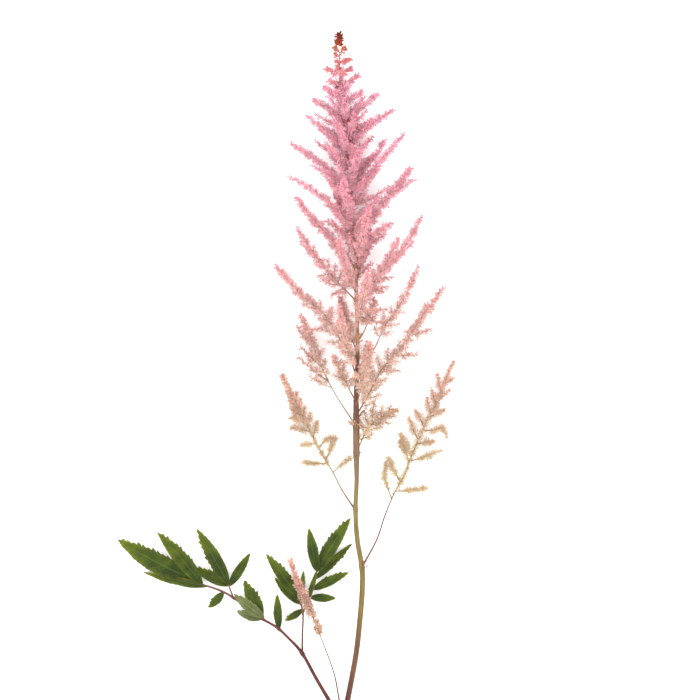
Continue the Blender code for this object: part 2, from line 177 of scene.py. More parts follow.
def wallFaces(rings, sides, first=0):
    # the faces between rings of points that stand one above another
    faces = []
    for ring in range(rings - 1):
        low, high = first + ring * sides, first + (ring + 1) * sides
        for k in range(sides):
            nextK = (k + 1) % sides
            faces.append((low + k, low + nextK, high + nextK, high + k))
    return faces


def tubeInto(shape, line, radii, sides, ridges=0.0, ridgeCount=5, footSlot=0, **marks):
    # a closed tube along a line; each end closes on a middle point, the foot with its own finish
    along, side, up = ringFrames(line)
    angles = np.arange(sides) * 2 * math.pi / sides
    swell = 1 + ridges * np.cos(angles * ridgeCount)
    points = []
    for centre, radius, across, over in zip(line[:, :3], radii, side, up):
        for angle, bulge in zip(angles, swell):
            points.append(centre + (across * math.cos(angle) + over * math.sin(angle)) * radius * bulge)
    faces = wallFaces(len(line), sides)
    slots = [0] * len(faces)
    first, last = len(points), len(points) + 1
    points += [line[0, :3], line[-1, :3]]
    top = (len(line) - 1) * sides
    for k in range(sides):
        nextK = (k + 1) % sides
        faces += [(first, nextK, k), (last, top + k, top + nextK)]
        slots += [footSlot, 0]
    points = np.array(points)
    points[:, 2] = np.maximum(points[:, 2], tableTop)
    spread = {}
    for name, values in marks.items():
        if np.ndim(values):
            values = list(np.repeat(values, sides)) + [values[0], values[-1]]
        spread[name] = values
    addTo(shape, points, [face[::-1] for face in faces], slots, **spread)


def newPiece(name, data, materials=()):
    for material in materials:
        data.materials.append(material)
    piece = bpy.data.objects.new(name, data)
    bpy.context.scene.collection.objects.link(piece)
    return piece


def finishedPiece(maker, name):
    # the evaluated mesh on an object of its own; the maker and its modifiers go
    graph = bpy.context.evaluated_depsgraph_get()
    data = bpy.data.meshes.new_from_object(
        maker.evaluated_get(graph), preserve_all_data_layers=True, depsgraph=graph
    )
    data.name = name
    bpy.data.objects.remove(maker, do_unlink=True)
    return newPiece(name, data)


def settle(piece, slotName, *nodes):
    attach(piece, "root")
    if nodes:
        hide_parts(*nodes)


# Finishes

def hexColour(text):
    # a screen colour such as #f09ab5 as the linear numbers that a shader takes
    parts = [int(text[i:i + 2], 16) / 255 for i in (1, 3, 5)]
    return [p / 12.92 if p <= 0.04045 else ((p + 0.055) / 1.055)**2.4 for p in parts] + [1.0]


def newFinish(name, roughness, **sockets):
    material = bpy.data.materials.new(name)
    material.use_nodes = True
    tree = material.node_tree
    shader = tree.nodes["Principled BSDF"]
    shader.inputs["Roughness"].default_value = roughness
    for socket, value in sockets.items():
        shader.inputs[socket.replace("_", " ")].default_value = value
    return material, tree, shader


def place(tree, kind, **inputs):
    # a node with its inputs set, by number or by name; a socket given as a value is linked
    node = tree.nodes.new(kind)
    for name, value in inputs.items():
        if name.startswith("set_"):
            setattr(node, name[4:], value)
    for name, value in inputs.items():
        if name.startswith("set_"):
            continue
        numbered = name[0] == "i" and name[1:].isdigit()
        socket = node.inputs[int(name[1:]) if numbered else name]
        if isinstance(value, bpy.types.NodeSocket):
            tree.links.new(value, socket)
        else:
            socket.default_value = value
    return node


def result(tree, kind, **inputs):
    return place(tree, kind, **inputs).outputs[0]


def maths(tree, operation, first, second=0.0, third=0.0, clamp=False):
    return result(
        tree, "ShaderNodeMath", set_operation=operation, set_use_clamp=clamp, i0=first, i1=second, i2=third
    )


def stretched(tree, value, low, high, start=0.0, end=1.0):
    # start up to the low value, end from the high one, and an even change between
    return result(tree, "ShaderNodeMapRange", Value=value, i1=low, i2=high, i3=start, i4=end)


def blendColours(tree, share, first, second, mode="MIX"):
    second = hexColour(second) if isinstance(second, str) else second
    node = place(
        tree, "ShaderNodeMix", set_data_type="RGBA", set_blend_type=mode, i0=share, i6=first, i7=second
    )
    return node.outputs[2]


def rampOf(tree, share, stops):
    node = place(tree, "ShaderNodeValToRGB", Fac=share)
    ramp = node.color_ramp
    while len(ramp.elements) < len(stops):
        ramp.elements.new(0.5)
    for element, (spot, colour) in zip(ramp.elements, stops):
        element.position = spot
        element.color = hexColour(colour) if isinstance(colour, str) else colour
    return node.outputs[0]


def spotOf(tree):
    return place(tree, "ShaderNodeTexCoord").outputs["Object"]


def noiseOf(tree, scale, detail=3.0):
    # noise with a number of waves to each metre, or a number for each axis
    spot = spotOf(tree)
    if isinstance(scale, tuple):
        spot = result(tree, "ShaderNodeMapping", Vector=spot, Scale=scale)
        scale = 1.0
    return place(tree, "ShaderNodeTexNoise", Vector=spot, Scale=scale, Detail=detail).outputs["Fac"]


def markOf(tree, name):
    return place(tree, "ShaderNodeAttribute", set_attribute_name=name).outputs["Fac"]


def heightShare(tree, low, high):
    # 0 at one distance from the cut end, 1 at another
    alongY = place(tree, "ShaderNodeSeparateXYZ", Vector=spotOf(tree)).outputs["Y"]
    return stretched(tree, alongY, low * mm + sheetCorner[1], high * mm + sheetCorner[1])


def finishWith(tree, shader, colour, relief, strength, depth, rough=None):
    # colour, bumps of a depth in millimetres, and a roughness that changes over the surface
    tree.links.new(colour, shader.inputs["Base Color"])
    if rough is not None:
        tree.links.new(rough, shader.inputs["Roughness"])
    bump = place(tree, "ShaderNodeBump", Height=relief, Strength=strength, Distance=depth * mm)
    tree.links.new(bump.outputs[0], shader.inputs["Normal"])


flowerTones = {
    "petals": [  # distance from the cut end, colour
        (92.0, "#bc9c7c"), (118.0, "#bc9f8a"), (150.0, "#c49a92"), (172.0, "#b2a478"),
        (215.0, "#baac84"), (240.0, "#c2b092"), (262.0, "#cab4a0"), (318.0, "#d0b2a6"),
        (345.0, "#d8b2ae"), (372.0, "#dcaeb2"), (430.0, "#dcacb8"), (478.0, "#d9acba"),
        (497.0, "#d49090"), (507.0, "#bc6c52"), (512.0, "#9c4a34"), (518.0, "#5c2018"),
    ],
    "buds": [
        (92.0, "#b88c6c"), (140.0, "#c28c84"), (172.0, "#bea276"), (225.0, "#c89c78"),
        (262.0, "#cc8e80"), (318.0, "#d07c84"), (372.0, "#d27088"), (470.0, "#d66c8c"),
        (495.0, "#b8585a"), (506.0, "#9a4a34"), (512.0, "#7c3220"), (518.0, "#481610"),
    ],
    "calyx": "#c98a74",
    "anthers": "#a8607c",
    "mottle": 900.0,  # waves to a metre
    "grain": 2500.0,
    "relief": 3500.0,
}


def toneRamp(tree, table):
    low, high = table[0][0], table[-1][0]
    share = heightShare(tree, low, high)
    return rampOf(tree, share, [((spot - low) / (high - low), colour) for spot, colour in table])


def makeFlowerFinish():
    tones = flowerTones
    material, tree, shader = newFinish("petalFinish", 0.75, Specular_IOR_Level=0.12)
    youth = maths(tree, "SUBTRACT", 1.0, markOf(tree, "age"), clamp=True)
    youth = maths(tree, "POWER", youth, 2.2)
    colour = blendColours(tree, youth, toneRamp(tree, tones["petals"]), toneRamp(tree, tones["buds"]))
    part = markOf(tree, "part")  # 0.5 on the calyx, 1 on the anthers
    calyx = maths(tree, "MULTIPLY", maths(tree, "COMPARE", part, 0.5, 0.1), 0.35)
    colour = blendColours(tree, calyx, colour, tones["calyx"])
    anthers = maths(tree, "MULTIPLY", maths(tree, "GREATER_THAN", part, 0.8), 0.5)
    colour = blendColours(tree, anthers, colour, tones["anthers"])
    shade = maths(tree, "MULTIPLY_ADD", markOf(tree, "tone"), 0.34, 0.83)
    mottle = maths(tree, "MULTIPLY_ADD", noiseOf(tree, tones["mottle"]), 0.3, 0.85)
    value = maths(tree, "MULTIPLY", shade, mottle)
    tinted = result(tree, "ShaderNodeHueSaturation", Color=colour, Value=value)
    rough = maths(tree, "MULTIPLY_ADD", noiseOf(tree, tones["grain"]), 0.3, 0.58)
    finishWith(tree, shader, tinted, noiseOf(tree, tones["relief"]), 0.35, 0.08, rough)
    return material


sprigTones = [
    (60.0, "#644032"), (140.0, "#6e4636"), (182.0, "#5e4030"), (200.0, "#8c7650"), (228.0, "#927e58"),
    (250.0, "#866044"), (330.0, "#a06c5c"), (430.0, "#d07486"), (500.0, "#8e4436"), (517.0, "#6e2a22"),
]
sprigSkin = {"patch": "#a87868", "patches": 260.0, "grain": 1500.0, "relief": 2200.0}


def makeSprigFinish():
    skin = sprigSkin
    material, tree, shader = newFinish("sprigFinish", 0.6, Specular_IOR_Level=0.25)
    colour = toneRamp(tree, sprigTones)
    dark = blendColours(tree, 1.0, colour, skin["patch"], "MULTIPLY")
    patches = maths(tree, "MULTIPLY", noiseOf(tree, skin["patches"], 4.0), 0.7)
    colour = blendColours(tree, patches, colour, dark)
    rough = maths(tree, "MULTIPLY_ADD", noiseOf(tree, skin["grain"]), 0.3, 0.42)
    finishWith(tree, shader, colour, noiseOf(tree, skin["relief"]), 0.4, 0.1, rough)
    return material


stemTones = [
    (0.0, "#54291e"), (50.0, "#50281a"), (88.0, "#5e4022"), (112.0, "#6c5c2a"), (160.0, "#706630"),
    (195.0, "#74663c"), (216.0, "#6e5840"), (232.0, "#6e543c"), (250.0, "#5c3a28"), (288.0, "#643e2a"),
    (304.0, "#a07a50"), (340.0, "#a87a58"), (380.0, "#b07868"), (430.0, "#c4747a"), (466.0, "#b8606a"),
]
stemSkin = {  # colours, and noise in waves to a metre or to a metre on each axis
    "streak": "#b48c78",
    "streaks": (1500.0, 30.0, 1500.0),
    "blush": "#7a5038",
    "blushes": 55.0,
    "lenticel": "#5d3226",
    "lenticels": (900.0, 420.0, 900.0),
}


def makeStemFinish():
    skin = stemSkin
    material, tree, shader = newFinish("stemSkin", 0.45, Specular_IOR_Level=0.3)
    colour = toneRamp(tree, stemTones)
    streaks = noiseOf(tree, skin["streaks"], 5.0)
    darker = blendColours(tree, 1.0, colour, skin["streak"], "MULTIPLY")
    colour = blendColours(tree, stretched(tree, streaks, 0.45, 0.68, 0.0, 0.75), colour, darker)
    blush = stretched(tree, noiseOf(tree, skin["blushes"]), 0.5, 0.72, 0.0, 0.45)
    colour = blendColours(tree, blush, colour, skin["blush"])
    lenticels = stretched(tree, noiseOf(tree, skin["lenticels"], 2.0), 0.68, 0.74, 0.0, 0.6)
    colour = blendColours(tree, lenticels, colour, skin["lenticel"])
    rough = maths(tree, "MULTIPLY_ADD", streaks, 0.35, 0.28)
    finishWith(tree, shader, colour, streaks, 0.5, 0.15, rough)
    return material


def makePithFinish():
    material, tree, shader = newFinish("cutPith", 0.7)
    pores = noiseOf(tree, 2600.0, 4.0)
    colour = rampOf(tree, pores, [(0.35, "#a8a070"), (0.5, "#d8d3a8"), (0.7, "#ece8c8")])
    finishWith(tree, shader, colour, pores, 0.6, 0.1)
    return material


leafStalkTones = {
    "reach": [(0.0, "#350f0c"), (0.35, "#451613"), (0.6, "#56241d"), (0.85, "#5c3e28"), (1.0, "#4c5826")],
    "patch": "#6c3026",
    "patches": 180.0,
    "grain": 1400.0,
}


def makeLeafStalkFinish():
    tones = leafStalkTones
    material, tree, shader = newFinish("leafStalkSkin", 0.42, Specular_IOR_Level=0.3)
    colour = rampOf(tree, markOf(tree, "reach"), tones["reach"])
    patches = stretched(tree, noiseOf(tree, tones["patches"], 4.0), 0.42, 0.7, 0.0, 0.6)
    colour = blendColours(tree, patches, colour, tones["patch"])
    grain = noiseOf(tree, tones["grain"], 4.0)
    rough = maths(tree, "MULTIPLY_ADD", grain, 0.3, 0.3)
    finishWith(tree, shader, colour, grain, 0.45, 0.12, rough)
    return material


leafTones = {
    "upper": ("#232e08", "#35410a", "#4b560f", "#7a7a26"),
    "under": ("#46502c", "#545c36", "#656c44", "#787c50"),
    "edge": "#6a3a1a",
    "vein": "#4e6c20",
    "underVein": "#8e976c",
    "patches": 120.0,
    "edgePatches": 300.0,
    "cells": 1400.0,
}


def makeLeafFinish(name, tones, vein, roughness, edgeShare):
    # darker at the foot of a blade, with a midrib, side veins and a brown edge in places
    material, tree, shader = newFinish(name, roughness, Specular_IOR_Level=0.14)
    patches = noiseOf(tree, leafTones["patches"], 4.0)
    across = markOf(tree, "across")
    share = maths(tree, "MULTIPLY_ADD", maths(tree, "POWER", markOf(tree, "along"), 2.0), 0.6, 0.04)
    share = maths(tree, "MULTIPLY_ADD", maths(tree, "SUBTRACT", patches, 0.45), 1.1, share)
    share = maths(tree, "MULTIPLY_ADD", maths(tree, "POWER", across, 4.0), 0.3, share)
    colour = rampOf(tree, share, list(zip((0.05, 0.3, 0.62, 0.95), tones)))
    phase = maths(tree, "PINGPONG", markOf(tree, "veins"), 0.5)
    sideVeins = maths(tree, "MULTIPLY", stretched(tree, phase, 0.0, 0.085, 1.0, 0.0), 0.55)
    lines = maths(tree, "MAXIMUM", sideVeins, stretched(tree, across, 0.03, 0.075, 1.0, 0.0))
    colour = blendColours(tree, maths(tree, "MULTIPLY", lines, 0.45), colour, vein)
    edgePatches = stretched(tree, noiseOf(tree, leafTones["edgePatches"], 2.0), 0.42, 0.58)
    rim = maths(tree, "MULTIPLY", stretched(tree, across, 0.93, 1.0), edgePatches)
    colour = blendColours(tree, maths(tree, "MULTIPLY", rim, edgeShare), colour, leafTones["edge"])
    cells = place(
        tree, "ShaderNodeTexVoronoi", set_feature="DISTANCE_TO_EDGE", Vector=spotOf(tree),
        Scale=leafTones["cells"],
    ).outputs["Distance"]
    rough = maths(tree, "MULTIPLY_ADD", patches, 0.3, roughness - 0.15)
    relief = maths(tree, "MULTIPLY_ADD", lines, -0.6, cells)
    finishWith(tree, shader, colour, relief, 0.35, 0.12, rough)
    return material


def makeBractFinish():
    material, tree, shader = newFinish("bractSkin", 0.75)
    grain = noiseOf(tree, (1200.0, 200.0, 1200.0), 4.0)
    colour = rampOf(tree, grain, [(0.3, "#4a281e"), (0.5, "#6a4432"), (0.75, "#8a6a50")])
    finishWith(tree, shader, colour, grain, 0.5, 0.1)
    return material


petalFinish = makeFlowerFinish()
sprigFinish = makeSprigFinish()
stemFinish = makeStemFinish()
pithFinish = makePithFinish()
leafStalkFinish = makeLeafStalkFinish()
leafUpper = makeLeafFinish("leafUpper", leafTones["upper"], leafTones["vein"], 0.45, 0.85)
leafUnder = makeLeafFinish("leafUnder", leafTones["under"], leafTones["underVein"], 0.7, 0.5)
bractFinish = makeBractFinish()
print("finishes made")


# Flowering stem

stemLine = [  # x, y, z, radius
    (-13.0, 0.0, 2.1, 2.1), (-10.6, 20.0, 3.0, 2.0), (-9.2, 31.0, 3.6, 2.7),
    (-7.6, 41.0, 4.1, 2.0), (-5.6, 50.0, 4.6, 1.95), (-0.1, 80.0, 6.2, 1.95),
    (2.7, 105.0, 7.6, 1.95), (4.3, 125.0, 8.8, 1.95), (4.2, 141.0, 9.8, 1.9),
    (0.9, 161.0, 11.0, 1.75), (-0.4, 182.0, 12.3, 1.65), (0.4, 203.0, 13.7, 1.65),
    (0.1, 232.0, 15.6, 2.3), (0.0, 259.0, 17.4, 1.6), (1.0, 294.0, 19.3, 1.3),
    (0.1, 336.0, 20.6, 1.1), (-0.7, 371.0, 20.4, 1.0), (-2.8, 399.0, 19.4, 0.9),
    (-4.9, 430.0, 17.4, 0.8), (-7.0, 455.0, 15.2, 0.7), (-9.1, 465.7, 14.1, 0.65),
]
stemLook = {"rings": 210, "sides": 20, "ridges": 0.035, "ridgeCount": 5, "knots": 0.16, "knotLength": 2.2}
stem = smoothLine(stemLine, stemLook["rings"])

shootRoot = 36.0  # where the small shoot leaves the stem

# Branches of the plume by the side that they grow to: height on the stem, then points
plumeSides = {
    "right": [
        (222.0, [(8.4, 239.0, 13.0), (18.0, 247.0, 9.0), (30.0, 252.0, 0.0)]),
        (248.0, [
            (7.7, 261.0, 17.0), (18.7, 281.5, 16.0), (32.2, 296.0, 12.0),
            (44.8, 315.0, 8.0), (62.4, 338.6, 0.0),
        ]),
        (281.0, [(12.6, 295.0, 25.0), (20.2, 311.0, 29.0), (32.4, 328.0, 31.0), (43.8, 353.0, 33.0)]),
        (300.0, [(6.5, 309.0, 18.0), (13.3, 331.0, 13.0)]),
        (322.0, [(7.5, 333.0, 27.0), (19.5, 351.4, 35.0), (29.8, 372.0, 41.0)]),
        (329.0, [(11.0, 342.0, 17.0), (23.8, 355.6, 13.0), (36.4, 370.0, 9.0), (46.9, 389.5, 0.0)]),
        (360.0, [(8.0, 370.0, 25.0), (25.0, 382.6, 31.0)]),
        (371.0, [(14.0, 391.0, 17.0), (26.6, 405.7, 12.0), (39.1, 422.9, 0.0)]),
        (392.0, [(12.6, 420.0, 24.0), (25.2, 434.5, 28.0), (34.7, 445.2, 31.0)]),
        (408.0, [(6.0, 422.0, 15.0), (15.5, 433.0, 12.0), (20.3, 442.0, 10.0)]),
        (438.0, [(9.8, 451.5, 16.0), (27.3, 462.4, 14.0)]),
        (454.0, [(1.0, 461.5, 17.0), (16.2, 473.3, 19.0)]),
    ],
    "left": [
        (241.0, [(-14.4, 263.0, 13.0), (-24.6, 283.0, 10.0), (-32.2, 302.7, 7.0), (-39.9, 319.2, 0.0)]),
        (258.0, [(-6.5, 270.0, 23.0), (-16.0, 291.0, 30.0)]),
        (288.0, [(-9.0, 298.0, 18.0), (-20.7, 317.3, 15.0), (-38.2, 332.5, 9.0), (-57.5, 354.5, 0.0)]),
        (328.0, [(-15.0, 343.8, 24.0), (-29.8, 361.3, 28.0), (-41.6, 380.0, 31.0)]),
        (351.0, [(-19.0, 374.0, 15.0), (-32.9, 388.2, 10.0), (-42.2, 402.3, 0.0)]),
        (378.0, [(-12.0, 391.0, 23.0), (-29.1, 404.6, 27.0), (-47.2, 414.8, 30.0)]),
        (400.0, [(-18.0, 419.0, 15.0), (-30.9, 428.9, 10.0), (-46.6, 440.1, 0.0)]),
        (432.0, [(-20.3, 447.0, 19.0), (-36.0, 457.3, 22.0)]),
        (453.0, [(-16.0, 461.5, 12.0), (-31.2, 469.7, 9.0)]),
    ],
    "upper": [
        (254.0, [(5.0, 274.0, 38.0), (10.0, 300.0, 58.0)]),
        (275.0, [(-7.0, 298.0, 41.0), (-12.0, 325.0, 61.0)]),
        (306.0, [(4.0, 326.0, 42.0), (9.0, 350.0, 59.0)]),
        (333.0, [(-7.0, 351.0, 41.0), (-12.0, 371.0, 55.0)]),
        (352.0, [(4.0, 371.0, 38.0), (9.0, 391.0, 50.0)]),
        (380.0, [(-6.0, 396.0, 34.0), (-9.0, 412.0, 44.0)]),
        (403.0, [(-2.0, 418.0, 30.0), (3.0, 433.0, 38.0)]),
        (428.0, [(-9.0, 440.0, 24.0), (-13.0, 452.0, 30.0)]),
    ],
    "under": [
        (266.0, [(5.0, 278.0, 9.0), (9.0, 300.0, 0.0)]),
        (292.0, [(-5.0, 308.0, 9.0), (-11.0, 332.0, 0.0)]),
        (340.0, [(4.0, 358.0, 9.0), (10.0, 380.0, 0.0)]),
        (366.0, [(-7.0, 385.0, 9.0), (-15.0, 405.0, 0.0)]),
        (415.0, [(-6.0, 430.0, 8.0), (-10.0, 448.0, 0.0)]),
    ],
}
plumeBranches = {
    f"plume_{side}_{number:02d}": branch
    for side, branches in plumeSides.items() for number, branch in enumerate(branches, 1)
}

lowerBranches = {
    "lower_left_branch": (182.0, [
        (-9.2, 195.0, 12.0), (-16.1, 208.2, 11.0), (-25.0, 223.4, 9.0), (-34.8, 242.1, 6.5),
        (-43.6, 258.8, 3.4), (-52.5, 276.5, 0.0),
    ]),
    "lower_right_branch": (141.8, [
        (14.4, 160.8, 10.0), (20.2, 177.8, 10.5), (26.6, 193.2, 10.5), (34.0, 206.7, 9.5),
        (39.3, 220.5, 8.0), (49.7, 244.0, 6.0), (57.5, 257.8, 4.2), (65.4, 279.4, 1.5), (69.3, 286.8, 0.0),
    ]),
}


def makeStem():
    # the round stem, a little ridged, thicker at the branches' feet, cut clean below
    radii = stem[:, 3].copy()
    for height, *_ in [*plumeBranches.values(), *lowerBranches.values(), (shootRoot,)]:
        radii *= 1 + stemLook["knots"] * np.exp(-((stem[:, 1] - height) / stemLook["knotLength"])**2)
    shape = newShape()
    tubeInto(shape, stem, radii, stemLook["sides"], stemLook["ridges"], stemLook["ridgeCount"], footSlot=1)
    piece = newPiece("mainStem", meshOf("mainStem", shape), [stemFinish, pithFinish])
    settle(piece, "stem", "main_stem")


makeStem()
print("stem made")


# Single flowers, in millimetres, each standing on its own short stalk along +Z

floretLook = {
    "petalLength": 2.1,
    "petalWidth": 0.66,
    "petalRise": 34.0,
    "stamenLength": 2.3,
    "stamenRise": 66.0,
    "anther": 0.17,
    "sharpAngle": 50.0,
    "seed": 11,
}


def turnedInto(shape, rows, sides, part):
    # a closed turned body; the first and the last row are points on the axis
    points = [(0.0, 0.0, rows[0][1])]
    for radius, height in rows[1:-1]:
        for k in range(sides):
            angle = 2 * math.pi * k / sides
            points.append((radius * math.cos(angle), radius * math.sin(angle), height))
    last = len(points)
    points.append((0.0, 0.0, rows[-1][1]))
    faces = wallFaces(len(rows) - 2, sides, first=1)
    for k in range(sides):
        nextK = (k + 1) % sides
        faces += [(0, 1 + nextK, 1 + k), (last, last - sides + k, last - sides + nextK)]
    addTo(shape, points, faces, part=part)


def reachOut(angle, rise):
    # outwards, across, along and over, for a thing that rises from the axis at an angle round it
    out = np.array([math.cos(angle), math.sin(angle), 0.0])
    across = np.array([-math.sin(angle), math.cos(angle), 0.0])
    along = out * math.cos(rise) + upwards * math.sin(rise)
    return out, across, along, np.cross(along, across)


def petalInto(shape, angle, length, width, rise, base, curl=0.0):
    # a narrow keeled petal, closed all round, widest past its middle
    out, across, along, over = reachOut(angle, rise)
    foot = out * 0.2 + upwards * base
    middle = foot + along * length * 0.62
    points = [
        foot,
        middle - across * width / 2,
        middle + across * width / 2,
        foot + along * length - over * curl,
        middle + over * width * 0.3,
        middle - over * width * 0.06,
    ]
    faces = [(0, 1, 4), (0, 4, 2), (1, 3, 4), (4, 3, 2), (0, 5, 1), (0, 2, 5), (1, 5, 3), (5, 2, 3)]
    addTo(shape, points, faces, part=0.0)


def stamenInto(shape, angle, length, rise, base):
    # a thread that ends in a small anther, as one closed slim wedge
    _, across, along, over = reachOut(angle, rise)
    foot = upwards * base
    end = foot + along * length
    across, over = across * floretLook["anther"], over * floretLook["anther"]
    points = [foot, end + across, end - across + over, end - across - over]
    addTo(shape, points, [(0, 1, 2), (0, 2, 3), (0, 3, 1), (1, 3, 2)], part=[0.0, 1.0, 1.0, 1.0])


def makeFlorets():
    # four ages of one flower, from shut bud to faded, in a collection that isn't shown
    look = floretLook
    rng = random.Random(look["seed"])
    length, width = look["petalLength"], look["petalWidth"]
    rise = math.radians(look["petalRise"])
    fifth = 2 * math.pi / 5

    bud = newShape()
    turnedInto(bud, [(0, -0.1), (0.13, 0.0), (0.17, 0.35), (0.62, 0.95), (0.48, 1.6), (0, 1.95)], 5, 0.2)

    opening = newShape()
    turnedInto(opening, [(0, -0.1), (0.14, 0.0), (0.58, 0.9), (0, 1.3)], 5, 0.5)
    for k in range(5):
        petalInto(opening, k * fifth, length * 0.7, width, math.radians(rng.uniform(60, 76)), 0.8, -0.1)

    wide = newShape()
    turnedInto(wide, [(0, -0.1), (0.14, 0.0), (0.52, 0.85), (0, 1.05)], 4, 0.5)
    for k in range(5):
        turn = k * fifth + rng.uniform(-0.15, 0.15)
        lift = rise + rng.uniform(-0.2, 0.25)
        petalInto(wide, turn, length * rng.uniform(0.9, 1.1), width, lift, 0.85, 0.25)
    for k in range(4):
        turn = (k + 0.5) * math.pi / 2 + rng.uniform(-0.3, 0.3)
        lift = math.radians(look["stamenRise"] + rng.uniform(-9, 9))
        stamenInto(wide, turn, look["stamenLength"], lift, 0.9)

    faded = newShape()
    turnedInto(faded, [(0, -0.1), (0.14, 0.0), (0.5, 0.85), (0.36, 1.5), (0, 2.0)], 4, 0.5)
    for k in range(5):
        turn = k * fifth + rng.uniform(-0.4, 0.4)
        long = length * rng.uniform(0.6, 0.95)
        petalInto(faded, turn, long, width * 0.7, rng.uniform(-0.3, 0.9), 0.8, 0.5)

    shapes = {"floret0Bud": bud, "floret1Opening": opening, "floret2Wide": wide, "floret3Faded": faded}
    holder = bpy.data.collections.new("floretShapes")
    for name, shape in shapes.items():
        data = meshOf(name, shape, onSheet=False)
        data.set_sharp_from_angle(angle=math.radians(look["sharpAngle"]))
        holder.objects.link(bpy.data.objects.new(name, data))
    return holder


floretShapes = makeFlorets()


# Sprays: a tree that grows stalks and flowers along every line it gets

def newTree(name, inputs):
    tree = bpy.data.node_groups.new(name, "GeometryNodeTree")
    tree.interface.new_socket("Geometry", in_out="INPUT", socket_type="NodeSocketGeometry")
    for label, kind in inputs.items():
        tree.interface.new_socket(label, in_out="INPUT", socket_type="NodeSocket" + kind)
    tree.interface.new_socket("Geometry", in_out="OUTPUT", socket_type="NodeSocketGeometry")
    return tree, tree.nodes.new("NodeGroupInput").outputs, tree.nodes.new("NodeGroupOutput").inputs[0]


def named(tree, name, kind="FLOAT"):
    return result(tree, "GeometryNodeInputNamedAttribute", set_data_type=kind, Name=name)


def randomNumber(tree, low, high, seed, offset):
    shifted = maths(tree, "ADD", seed, offset)
    return place(
        tree, "FunctionNodeRandomValue", set_data_type="FLOAT", i2=low, i3=high, Seed=shifted
    ).outputs[1]


def vectorMaths(tree, operation, first, **others):
    return result(tree, "ShaderNodeVectorMath", set_operation=operation, i0=first, **others)


def turnTo(tree, facing):
    return result(tree, "FunctionNodeAlignRotationToVector", set_axis="Z", Vector=facing)


def madeReal(tree, instances, height, finish):
    # real geometry with its finish, and no point of it below the table
    real = result(tree, "GeometryNodeRealizeInstances", Geometry=instances)
    spot = result(tree, "GeometryNodeInputPosition")
    parts = place(tree, "ShaderNodeSeparateXYZ", Vector=spot).outputs
    lifted = maths(tree, "MAXIMUM", parts["Z"], height)
    spot = result(tree, "ShaderNodeCombineXYZ", X=parts["X"], Y=parts["Y"], Z=lifted)
    real = result(tree, "GeometryNodeSetPosition", Geometry=real, Position=spot)
    return result(tree, "GeometryNodeSetMaterial", Geometry=real, Material=finish)


def runTree(tree, name, data, values):
    # what the tree makes of the given points or lines, as a plain piece
    maker = newPiece(name + "Maker", data)
    modifier = maker.modifiers.new("tree", "NODES")
    modifier.node_group = tree
    for item in tree.interface.items_tree:
        if item.in_out == "INPUT" and item.name in values:
            modifier[item.identifier] = values[item.name]
    return finishedPiece(maker, name)


